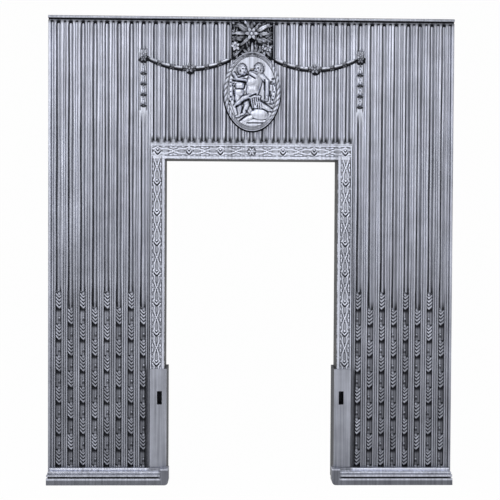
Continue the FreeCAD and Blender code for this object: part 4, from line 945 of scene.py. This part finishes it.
class Modelling:
    """A relief built up from rounded swellings."""

    def __init__(self, x, z):
        self.x = x
        self.z = z
        self.height = np.zeros_like(x)
        self.shade = np.ones_like(x)

    def join(self, other, soft):
        """Adds a swelling, and softens the hollow where it meets what is there."""
        blend = np.clip(soft - np.abs(self.height - other), 0, None) ** 2 / (4 * soft)
        self.height = np.where(other > 0, np.maximum(self.height, other) + blend, self.height)

    def from_line(self, start, end):
        """Share of the way along a line at the place nearest to each point, and the distance from there."""
        reach = np.subtract(end, start)
        share = ((self.x - start[0]) * reach[0] + (self.z - start[1]) * reach[1]) / (reach @ reach)
        share = np.clip(share, 0, 1)
        return share, np.hypot(self.x - start[0] - share * reach[0], self.z - start[1] - share * reach[1])

    def egg(self, place, size, rise, turn=0.0, soft=0.8):
        """An oval swelling, turned in degrees."""
        dx, dz = self.x - place[0], self.z - place[1]
        cosine, sine = math.cos(math.radians(turn)), math.sin(math.radians(turn))
        away = np.hypot((dx * cosine + dz * sine) / size[0], (dz * cosine - dx * sine) / size[1])
        self.join(dome(away, 1, rise), soft)

    def limb(self, start, end, thick, rise, soft=0.8):
        """A long swelling, with a thickness and a rise at each end."""
        share, away = self.from_line(start, end)
        radius = thick[0] + (thick[1] - thick[0]) * share
        self.join((rise[0] + (rise[1] - rise[0]) * share) * dome(away / radius, 1, 1), soft)

    def dent(self, place, size, depth):
        """A soft hollow."""
        away = np.hypot((self.x - place[0]) / size[0], (self.z - place[1]) / size[1])
        self.height = self.height - depth * spot(away, 0, 1)

    def groove(self, start, end, width, depth):
        """An incised line."""
        self.height = self.height - depth * spot(self.from_line(start, end)[1], 0, width)

    def child_head(self, place, facing):
        """A plain child's head, half turned to one side, with short curls over its top and back."""
        x, z = place
        self.egg(place, (10.4, 12.0), 7.0)
        # face
        self.egg((x + 3.6 * facing, z - 3.0), (7.2, 8.8), 8.2)
        self.egg((x + 5.0 * facing, z - 4.6), (3.6, 3.4), 9.2)
        self.egg((x + 4.6 * facing, z - 10.0), (2.8, 2.2), 8.2)
        self.egg((x + 5.6 * facing, z - 1.6), (1.2, 2.6), 10.0, soft=0.5)
        for across in (1.8, 8.4):
            self.dent((x + across * facing, z + 0.6), (1.9, 1.3), 4.2)
        self.dent((x + 5.4 * facing, z - 6.8), (2.4, 0.9), 3.4)
        self.dent((x - 3.4 * facing, z - 4.0), (1.4, 2.6), 2.6)
        # curls
        chance = np.random.default_rng(3 + facing)
        for away in (5.5, 8.5, 11.2):
            for index in range(6):
                turn = math.radians(90 + facing * (34 * index - 50 + chance.uniform(-14, 14)))
                curl = x + away * math.cos(turn), z + 1.6 + away * math.sin(turn)
                self.dent(curl, chance.uniform(1.1, 2.0, 2), chance.uniform(0.3, 1.3))
        # the hair is darker than the face
        back = np.hypot(self.x - x + 2.5 * facing, self.z - z - 2.0)
        front = np.hypot((self.x - x - 4.2 * facing) / 7.0, (self.z - z + 3.6) / 8.6)
        self.shade = self.shade * (1 - 0.3 * fall(back, 11.5, 13.5) * smooth(front, 0.9, 1.15))


def figures(x, z):
    """Two plain children seated on a rock, one with a cloth over the knees."""
    clay = Modelling(x, z)
    # the rock and the banks on both sides
    clay.egg((0, -66), (40, 9), 3.0)
    clay.egg((16, -48), (19, 12), 5.2, -8)
    clay.egg((-9, -57), (14, 6), 4.0, 24)
    clay.limb((-44, -16), (-33, -48), (4.4, 3.4), (3.6, 3.2))
    clay.limb((47, 0), (42, -22), (4.4, 3.6), (4.0, 4.2))
    clay.limb((46, 20), (48, 2), (3.0, 3.0), (3.0, 3.4))
    clay.limb((-45, 22), (-44, -6), (3.4, 4.4), (3.0, 3.4))
    # the child on the left
    clay.egg((-28, 25), (12, 10), 5.0)
    clay.egg((-26, 12.7), (9.4, 8.8), 6.6, 10)
    clay.egg((-28, -2), (10.8, 10.4), 7.2)
    clay.limb((-30, -10), (-27, -33), (7.4, 5.6), (6.0, 6.2))
    clay.limb((-27, -33), (-27, -49), (5.2, 3.4), (6.0, 4.6))
    clay.egg((-30, -52), (6.0, 2.8), 4.6, 14)
    # the child on the right
    clay.limb((8, 32), (1, 0), (16.0, 13.5), (6.0, 7.0))
    clay.egg((0, 20), (13, 12), 7.8, 15)
    clay.egg((3, 4), (13, 12), 8.4)
    clay.limb((-4, 39), (9, 31), (4.0, 5.0), (7.6, 8.4))
    clay.limb((20, 32), (32, 21), (6.0, 5.0), (7.2, 7.0))
    clay.limb((32, 21), (31, -15), (4.8, 3.6), (7.2, 6.4))
    clay.egg((30, -17), (4.6, 3.6), 6.4)
    clay.limb((12, -24), (36, -37), (6.6, 4.8), (7.2, 6.0))
    clay.egg((41, -39), (5.4, 3.0), 5.2, -20)
    # the cloth over the knees, with its folds
    for fold in range(5):
        start = (-2 + 4.2 * fold, -14 + 0.6 * fold)
        clay.limb(start, (1 + 4.4 * fold, -33 - 0.5 * fold), (2.5, 2.0), (6.2, 4.8), 0.2)
        clay.groove((start[0] + 2.1, start[1]), (3.2 + 4.4 * fold, -32), 0.8, 2.0)
    clay.limb((-5, -14), (4, -10.5), (3.2, 3.2), (8.4, 8.8))
    clay.limb((4, -10.5), (16, -11), (3.2, 2.6), (8.8, 7.6))
    # the leg that crosses in front, knees and feet
    clay.limb((-5, -10), (-19, -14.5), (5.2, 4.8), (9.0, 9.2))
    clay.limb((-19, -14.5), (-34, -27), (4.8, 3.4), (9.2, 8.0))
    clay.egg((-37, -30), (4.8, 2.8), 6.8, 40)
    clay.egg((-12, -24), (6.8, 6.4), 7.8)
    clay.limb((-11, -28), (-17, -44), (5.6, 3.8), (7.0, 5.6))
    clay.egg((-21, -48), (5.6, 2.8), 5.6, 20)
    clay.egg((7, -32), (4.4, 4.0), 6.4)
    # arms in front and the two heads
    clay.limb((-39, 37), (-32, 26), (3.6, 3.4), (7.4, 8.2))
    clay.limb((-32, 26), (-15, 23.7), (3.4, 2.6), (8.2, 8.8))
    clay.egg((-13, 23), (3.4, 3.0), 8.6)
    clay.child_head((-21.5, 46.5), 1)
    clay.child_head((14, 48), -1)
    # lines cut along the edges of limbs and cloth, with their ends, width and depth
    for cut in (
        ((-36, 22), (-14, 19.5), 1.6, 4.0),
        ((-14, 19), (-17, 8), 1.6, 3.6),
        ((-34, 5), (-19, 5), 1.2, 3.0),
        ((-6, -15.5), (-32, -32), 1.9, 4.6),
        ((-5, -11), (8, -5.5), 1.7, 4.0),
        ((14, -17), (46, -34), 1.9, 4.6),
        ((-27, -62), (-8, -47), 1.7, 3.6),
        ((-10, -66), (24, -66), 1.5, 2.6),
        ((-28, 30), (-11, 36), 1.8, 4.4),
        ((26, 24), (27, 4), 1.6, 3.6),
        ((-5, 34), (6, 27), 1.2, 2.6),
        ((-6, -22), (2, -38), 1.8, 4.6),
        ((-13, -40), (-6, -48), 1.6, 4.0),
    ):
        clay.groove(*cut)
    clay.dent((1, 45.5), (4.6, 3.2), 4.4)
    # broken ground beside and behind the figures
    chance = np.random.default_rng(11)
    for side in (-1, 1):
        for _ in range(22):
            place = side * chance.uniform(36, 49), chance.uniform(-34, 34)
            clay.dent(place, chance.uniform(1.4, 2.8, 2), chance.uniform(2.0, 5.0))
    for _ in range(14):
        place = chance.uniform(-6, 40), chance.uniform(-24, -8)
        clay.dent(place, chance.uniform(0.9, 1.8, 2), chance.uniform(1.0, 2.8))
    return clay.height, clay.shade


def medallion_plaque():
    """The oval plaque with its relief."""
    low, high = node_box("medallion_plaque")
    centre = middle_of("medallion_plaque")
    across, up = np.meshgrid(np.linspace(-1, 1, 205), np.linspace(-1, 1, 285))
    x = (high[0] - low[0]) / 2 * across * np.sqrt(1 - up * up / 2)
    z = (high[2] - low[2]) / 2 * up * np.sqrt(1 - across * across / 2)
    height, shade = figures(x, z)
    height = np.clip(height, -2.5, 10)
    # painted shade in the hollows of the relief, a painted highlight on its high places
    polish_and_painted_light = rubbed_with_hollow_shade(height, 1.2, 0.75) * shade
    skin = Skin()
    skin.relief(centre[0] + x, centre[1] + z, height, polish_and_painted_light, PLAQUE_FRONT, FRONT, 0.05, closed=True)
    cast(skin, "medallion_plaque")


medallion_ring()
medallion_plaque()

# How far the bouquet's ground stands out, and its middle flower over its foot
GROUND_OUT = 4.0
HEART_RISE = 54.0


def bouquet():
    """Flowers and leaves on a ground painted black as shade, over the medallion, with a palmette at their
    foot.
    """
    ground = FRONT - GROUND_OUT
    heart = node_box("bouquet")[0][2] + HEART_RISE
    skin = Skin()
    # the ground behind the flowers is black: painted shade between the leaves
    skin.behind("bouquet", ground - 0.05, 0)

    def leaf(across, rise, turn, length, width, bright, lobes=4, lift=(0.4, 2.4)):
        skin.blade((across, ground, heart + rise), turn, length, width, 1.9, lift, bright, lobes)

    # leaves that spread from the flower in the middle: place, turn, length, width, brightness and lobes
    for spread in (
        (-7, 4, 147, 31, 15, 0.5, 5),
        (-5, 9, 118, 17, 9, 0.55),
        (-1, 8, 92, 15, 8, 0.4),
        (5, 7, 55, 20, 8, 0.6),
        (8, 4, 30, 33, 11, 1.0, 5),
        (-13, 0, 178, 31, 9, 1.0),
        (-14, -6, 193, 29, 7, 0.5),
        (-22, 16, 182, 20, 6, 0.35),
        (12, -2, 8, 31, 10, 0.75),
        (24, 13, 12, 19, 7, 0.45),
        (14, -9, -18, 29, 8, 0.65),
        (-6, -8, 222, 20, 9, 0.6),
        (6, -8, -42, 20, 9, 0.65),
        (-12, -15, 215, 22, 7, 0.45),
        (14, -16, -30, 22, 7, 0.5),
    ):
        leaf(*spread)
    # the palmette at the foot and the leaves that follow the ring
    for ray in (-3, -2, -1, 1, 2, 3, 0):
        shade = 0.85 if ray == 0 else 0.5
        leaf(2.5 * ray, -45 - 1.2 * abs(ray), 90 - 22 * ray, 27 - 2.6 * abs(ray), 7, shade, 0, (1.0, 2.6))
    leaf(-40, -49, 43, 19, 6, 0.9, 0)
    leaf(40, -48, 137, 17, 6, 0.9, 0)
    # small leaves that fill the gaps, each turned away from the middle
    chance = np.random.default_rng(23)
    for _ in range(95):
        across, rise = chance.uniform(-39, 39), chance.uniform(-44, 22)
        if math.hypot(across, rise) < 11:
            continue
        turn = math.degrees(math.atan2(rise, across)) + chance.uniform(-55, 55)
        length = min(chance.uniform(7, 13), 44 - abs(across))
        bright = chance.choice((0.12, 0.35, 0.75, 1.2), p=(0.3, 0.3, 0.25, 0.15))
        leaf(across, min(rise, 23 - length / 2), turn, length, chance.uniform(3.5, 6), bright, 3, (0.6, 3.4))
    skin.flower((-1.6, ground, heart), 6, 15, 8, 2.2, 4.4, 60, (1.5, 3.5), 1.0)
    skin.flower((-35, ground, heart - 27), 5, 10.5, 7, 1.8, 2.4, 100, (1.0, 2.8), 1.35)
    skin.flower((21, ground, heart - 32), 5, 9, 5.5, 1.6, 2.2, 70, (1.0, 2.5), 1.1)
    skin.flower((34, ground, heart - 31), 5, 8.5, 5.5, 1.6, 2.2, 95, (1.0, 2.5), 1.25)
    for across, rise in ((-38, -10), (36, -9), (31, 3)):
        skin.flower((across, ground, heart + rise), 4, 6, 4.5, 1.5, 1.8, across, (0.8, 2.0), 0.6)
    cast(skin, "bouquet")


bouquet()

# Garlands: the rope of leaf sheaths between bouquet and rosette
ROPE_RADIUS = 1.9
SAG = 21.5
SHEATHS = 3
ROPE_OUT = 2.4


def garland(side, sign):
    """A hanging rope of leaf sheaths that open towards a flower at its lowest point."""
    node = f"{side}_garland"
    rosette_low, rosette_high = node_box(f"{side}_rosette")
    outer = min(abs(rosette_low[0]), abs(rosette_high[0])) - 0.5
    inner = node_box("bouquet")[1][0] + 0.5
    half, middle = (outer - inner) / 2, sign * (outer + inner) / 2
    bottom = middle_of(f"{side}_rosette")[1] - SAG
    radius = (half * half + SAG * SAG) / (2 * SAG)
    swing = math.asin(half / radius)

    def rope_point(share, out=ROPE_OUT):
        """A point of the rope, from -1 at its left end to 1 at its right end."""
        turn = swing * share
        up = bottom + radius * (1 - math.cos(turn))
        return np.array([middle + radius * math.sin(turn), FRONT - out, up])

    skin = Skin()
    run = np.linspace(-1, 1, 61)
    rope = np.array([rope_point(share) for share in run])
    skin.tube(rope, np.full(len(run), ROPE_RADIUS), np.full(len(run), 0.3))
    # a flank painted black under the rope, a painted shadow
    section = ((1, ROPE_OUT - 0.1), (-3, 0.5), (-5.5, ROPE_OUT - 0.6), (-6.2, ROPE_OUT))
    shadow_flank = [rope + (0, rise, drop) for drop, rise in section]
    skin.patch(np.stack(shadow_flank[::-1]), 0.01)
    edges = np.linspace(0.1, 1, SHEATHS + 1)
    for arm in (-1, 1):
        for near, far in zip(edges[:-1], edges[1:]):
            run = np.linspace(0, 1, 13)
            path = [rope_point(arm * (far + (near + 0.03 - far) * share)) for share in run]
            swell = 1.8 + 3.0 * np.sin(math.pi * np.clip(run * 0.62, 0, 1)) - 1.4 * smooth(run, 0.86, 1.0)
            swell[[0, -1]] = 0.2
            # each sheath is painted dark at its ends, painted shade where it tucks into the next
            shade = 0.03 + 0.97 * smooth(run, 0.08, 0.25) * fall(run, 0.82, 0.94)
            skin.tube(path, swell, shade, 5, 0.06)
            lean = math.degrees(swing * arm * near)
            for turn in (52, -52, 128, -128):
                root = rope_point(arm * near, 1.4)
                # leaves above the rope are painted lighter than those below, as the light falls from above
                bright = 0.55 if turn > 0 else 0.25
                skin.blade(root, lean + turn, 7.5, 4.2, 1.0, (0.0, 0.8), bright)
    flower = rope_point(0, 1.5)
    # a black disc behind the flower, a painted shadow
    skin.knob(flower + (2, 1.2, -3), 10, 1.4, 0.01)
    for turn in (30, 150, 90):
        skin.blade(flower, turn, 13, 6.5, 1.2, (0.0, 0.8), 0.75, 3)
    skin.flower(flower, 5, 10.5, 6.0, 1.8, 2.8, 90, (0.5, 3.0), 0.8)
    cast(skin, node)


def rosette(side):
    """A small flower with a tied ribbon above it and black leaves below it, a painted shadow."""
    node = f"{side}_rosette"
    across, up = middle_of(node)
    place = np.array([across, FRONT - 0.4, up])
    skin = Skin()
    # black leaves under the flower, a painted shadow
    for turn in range(-150, 30, 40):
        skin.blade(place + (0, 0.3, 0), turn, 12.5, 10, 1.0, (0.0, 0.4), DEEPEST_SHADE, 3)
    skin.flower(place, 5, 8.0, 5.0, 1.8, 2.2, 90, (0.3, 2.6), 0.6)
    knot = place + (0, 0, 9)
    for turn, length in ((52, 13), (90, 12), (128, 13), (20, 9), (160, 9)):
        skin.blade(knot, turn, length, 5.0, 1.4, (0.6, 1.6), 0.8)
    skin.knob(knot, 2.6, 3.4, 0.9)
    cast(skin, node)


# Bell husks of the hanging drops
BELLS = 4
DROP_PITCH = 22.5
BELL_LENGTH = 13.0
BELL_HALF = 8.0
BELL_NECK = 1.6
STEM_RADIUS = 1.5


def husk_drop(side):
    """Bell husks that hang one under another, each from a bud, with a painted shadow under each bell."""
    node = f"{side}_husk_drop"
    low, high = node_box(node)
    across = middle_of(node)[0]
    skin = Skin()
    stem = [(across, FRONT - 0.8, z) for z in np.linspace(high[2] + 10, low[2], 40)]
    skin.tube(stem, np.full(len(stem), STEM_RADIUS), np.full(len(stem), 0.3))
    turn = full_turn(30)[None, :]
    way = np.linspace(0, 1, 15)[:, None]
    flare = BELL_NECK + (BELL_HALF - BELL_NECK) * (0.45 * np.sin(math.pi / 2 * way) + 0.55 * way**3)
    petal = np.cos(5 * turn - math.pi / 2)
    reach = flare * (1 + 0.14 * petal * way)
    reach[[0, -1]] = 0.1
    x = across + reach * np.cos(turn)
    y = FRONT - 0.4 - np.where(np.sin(turn) > 0, 0.78, 0.1) * reach * np.sin(turn)
    curl = (3.2 * np.clip(np.sin(turn), 0, 1) - 1.2 * petal) * way**2
    # painted shade between the petals and along the rim
    polish_and_painted_light = (0.3 + 0.6 * smooth(petal, -0.9, 0.3)) * (way < 1)
    for index in range(BELLS):
        top = high[2] - index * DROP_PITCH
        z = top - BELL_LENGTH * way + curl
        z[-1] = top - BELL_LENGTH + 2.0
        skin.patch(np.stack([x, y, z], -1), polish_and_painted_light, True)
        # a dark oval under each bell, a painted shadow
        skin.knob((across, FRONT, top - BELL_LENGTH - 0.4), 3.6, 1.2, 0.05, 1.7)
        skin.knob((across, FRONT - 0.5, top + 1.5), 2.8, 4.2)
        for lean in (-38, 38):
            skin.blade((across, FRONT - 0.4, top + 2), 90 + lean, 6.5, 3.6, 1.0, (0.0, 0.8), 0.8)
    cast(skin, node)


for side, sign in SIDES.items():
    garland(side, sign)
    rosette(side)
    husk_drop(side)


# Base moulding: points from the foot up, each with its depth behind the front, its rise and its polish, with
# painted shade in the groove and under the steps and a painted highlight on the top bead
GROOVE = ((4.0, 0.0, 0.0), (4.0, 3.0, 0.0), (0.5, 3.2, 0.0))
FASCIA = ((0.0, 3.7, 0.68), (0.0, 7.0, 0.66), (0.7, 7.6, 0.6), (2.0, 7.8, 0.4), (2.4, 8.5, 0.35))
COVE = ((6.2, 13.7, 0.75), (6.6, 14.5, 0.75))
ROLL_MIDDLE = 5.0, 10.9
ROLL_RADIUS = 2.3
TOP_BEAD_DEPTH = 10.1
TOP_BEAD_RADIUS = 2.6
TOP_BEAD_LOW = 5.2
STOPPED_DEPTH = 9.4
END_SLANT = 0.6


def round_moulding(depth, rise, radius, first, last, polish_and_painted_light):
    """Points round a roll or a bead, from one angle to another."""
    turns = np.linspace(first, last, 9)
    return [(depth - radius * math.cos(turn), rise + radius * math.sin(turn), polish_and_painted_light) for turn in turns]


def base_moulding(side, sign):
    """The stepped moulding over the plinth, run straight and slanted back at its outer end."""
    node = f"{side}_base_moulding"
    low, high = node_box(node)
    front, foot = low[1], low[2]
    thick, tall = high[1] - front, high[2] - foot
    outline = [(thick, 0, 0), *GROOVE, *FASCIA]
    outline += round_moulding(*ROLL_MIDDLE, ROLL_RADIUS, -1.3, 1.3, 0.72)
    outline += COVE
    bead_rise = tall - TOP_BEAD_RADIUS
    outline += round_moulding(TOP_BEAD_DEPTH, bead_rise, TOP_BEAD_RADIUS, -1.4, 1.5, 1.0)
    outline += [(12, tall, 0.7), (thick, tall, 0.6)]
    depth, rise, lit = np.array(outline).T
    # the right moulding is painted lighter, painted light that stands in for the key lamp's light, which
    # falls from the left
    lit = lit * (1.12 if side == "right" else 1.0)
    inner, outer = sorted((abs(low[0]), abs(high[0])))
    stations = np.linspace(0, 1, 40)[:, None]
    reach = inner + (outer - END_SLANT * depth.clip(0, 10) - inner) * stations
    sway = 0.25 * np.sin(stations * 23) * np.sin(math.pi * stations)
    y = front + depth + sway
    # the top bead stops where the slot plate begins
    bead_low = tall - TOP_BEAD_LOW
    stopped = fall(reach, JOINT, JOINT + 3) * smooth(rise, bead_low - 0.2, bead_low)
    y = np.maximum(y, y + (front + STOPPED_DEPTH - y) * stopped)
    points = np.stack([sign * reach, y, foot + rise + 0 * reach], -1)
    if sign < 0:
        points = points[::-1]
    skin = Skin()
    # the stopped bead is painted darker, as painted shade beside the slot plate
    skin.patch(points, (lit + (0.4 - lit) * stopped)[::sign], True)
    caps = list(range(len(outline)))
    skin.add(points[0], [caps], 0.5)
    skin.add(points[-1], [caps[::-1]], 0.5)
    cast(skin, node, MOULDING_CREASE)


for side, sign in SIDES.items():
    base_moulding(side, sign)


def dress(finish, nodes, round_edge):
    """Gives CAD nodes a finish and rounds their edges a little."""
    for node in nodes:
        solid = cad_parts[node]
        solid.data.materials.clear()
        solid.data.materials.append(finish)
        bevel = solid.modifiers.new("rounded_edges", "BEVEL")
        bevel.width = round_edge * MM
        bevel.segments = 2
        bevel.limit_method = "ANGLE"
        bevel.angle_limit = math.radians(40)
        bevel.harden_normals = True


def named(*words):
    """Nodes whose names end with one of the words."""
    return [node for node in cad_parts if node.endswith(words)]


dress(PLATE, named("slot_plate"), 0.9)
dress(PLINTH, named("plinth"), 1.1)
dress(BAR, named("strap", "foot_angle"), 0.6)
dress(STEEL, named("screws", "studs", "nuts", "rivets"), 0.3)


def cyclorama():
    """A pale floor that rises into a backdrop far behind."""
    finish = Finish("pale_stage")
    path = finish.node("ShaderNodeLightPath")
    seen = finish.math("MAXIMUM", path.outputs["Is Camera Ray"], path.outputs["Is Glossy Ray"])
    seen = finish.math("MAXIMUM", seen, path.outputs["Is Transmission Ray"])
    white = finish.node("ShaderNodeEmission", Color=(1, 1, 1, 1), Strength=1.0)
    pale = finish.node("ShaderNodeBsdfDiffuse", Color=(0.8, 0.8, 0.8, 1))
    blend = finish.node("ShaderNodeMixShader")
    finish.feed(blend.inputs["Fac"], finish.math("MULTIPLY", seen, 0.985))
    finish.feed(blend.inputs[1], pale.outputs[0])
    finish.feed(blend.inputs[2], white.outputs[0])
    finish.feed(finish.tree.nodes["Material Output"].inputs["Surface"], blend.outputs[0])
    # floor, quarter turn and wall, in metres
    turns = np.linspace(0, math.pi / 2, 13)
    outline = [(-6, 0)] + [(3 + math.sin(turn), 1 - math.cos(turn)) for turn in turns] + [(4, 7)]
    points = [(across, depth, up) for depth, up in outline for across in (-9, 9)]
    faces = [(2 * i, 2 * i + 1, 2 * i + 3, 2 * i + 2) for i in range(len(outline) - 1)]
    mesh = bpy.data.meshes.new("stage_floor")
    mesh.from_pydata(points, [], faces)
    mesh.shade_smooth()
    mesh.materials.append(finish.material)
    floor = placed("stage_floor", mesh)


def lamp(name, place, target, width, height, power):
    """A rectangular soft light, in metres and watts."""
    light = bpy.data.lights.new(name, "AREA")
    light.shape = "RECTANGLE"
    light.size = width
    light.size_y = height
    light.energy = power
    thing = placed(name, light)
    thing.location = place
    thing.rotation_euler = (Vector(target) - Vector(place)).to_track_quat("-Z", "Y").to_euler()


def studio():
    """A pale sky over darker ground, and three soft lights."""
    scene = bpy.context.scene
    scene.view_settings.view_transform = "Standard"
    scene.world = bpy.data.worlds.new("studio")
    scene.world.use_nodes = True
    tree = scene.world.node_tree
    place = tree.nodes.new("ShaderNodeTexCoord")
    split = tree.nodes.new("ShaderNodeSeparateXYZ")
    ramp = tree.nodes.new("ShaderNodeValToRGB")
    tree.links.new(place.outputs["Generated"], split.inputs[0])
    tree.links.new(split.outputs["Z"], ramp.inputs["Fac"])
    ramp.color_ramp.elements[0].color = (0.3, 0.31, 0.33, 1)
    ramp.color_ramp.elements[1].color = (0.85, 0.87, 0.9, 1)
    tree.links.new(ramp.outputs["Color"], tree.nodes["Background"].inputs["Color"])
    tree.nodes["Background"].inputs["Strength"].default_value = 0.3
    lamp("front", (0.1, -2.8, 1.75), (0, 0, 0.7), 2.8, 1.2, 24.5)
    lamp("key", (-2.1, -1.9, 2.0), (0, 0, 0.6), 0.9, 0.9, 22)
    lamp("top", (0.2, -1.5, 2.7), (0, 0, 0.5), 2.4, 0.8, 15)


# The camera stands where the picture was taken, a little to the left of the middle
CAMERA_PLACE = (-0.0403, -1.7958, 0.5289)
CAMERA_YAW = math.radians(-1.2165)
CAMERA_PITCH = math.radians(-1.0175)
CAMERA_ROLL = math.radians(-0.3011)
CAMERA_LENS = 60.14


def camera():
    """A camera that looks almost straight at the front, turned by small angles. Its place is in metres."""
    data = bpy.data.cameras.new("camera")
    data.lens = CAMERA_LENS
    data.sensor_width = 36
    turn = Matrix.Rotation(CAMERA_YAW, 3, "Z") @ Matrix.Rotation(CAMERA_PITCH, 3, "X")
    turn = turn @ Matrix.Rotation(CAMERA_ROLL, 3, "Y")
    upright = turn @ Matrix.Rotation(math.pi / 2, 3, "X")
    thing = placed("camera", data)
    thing.matrix_world = Matrix.Translation(CAMERA_PLACE) @ upright.to_4x4()
    bpy.context.scene.camera = thing


cyclorama()
studio()
camera()
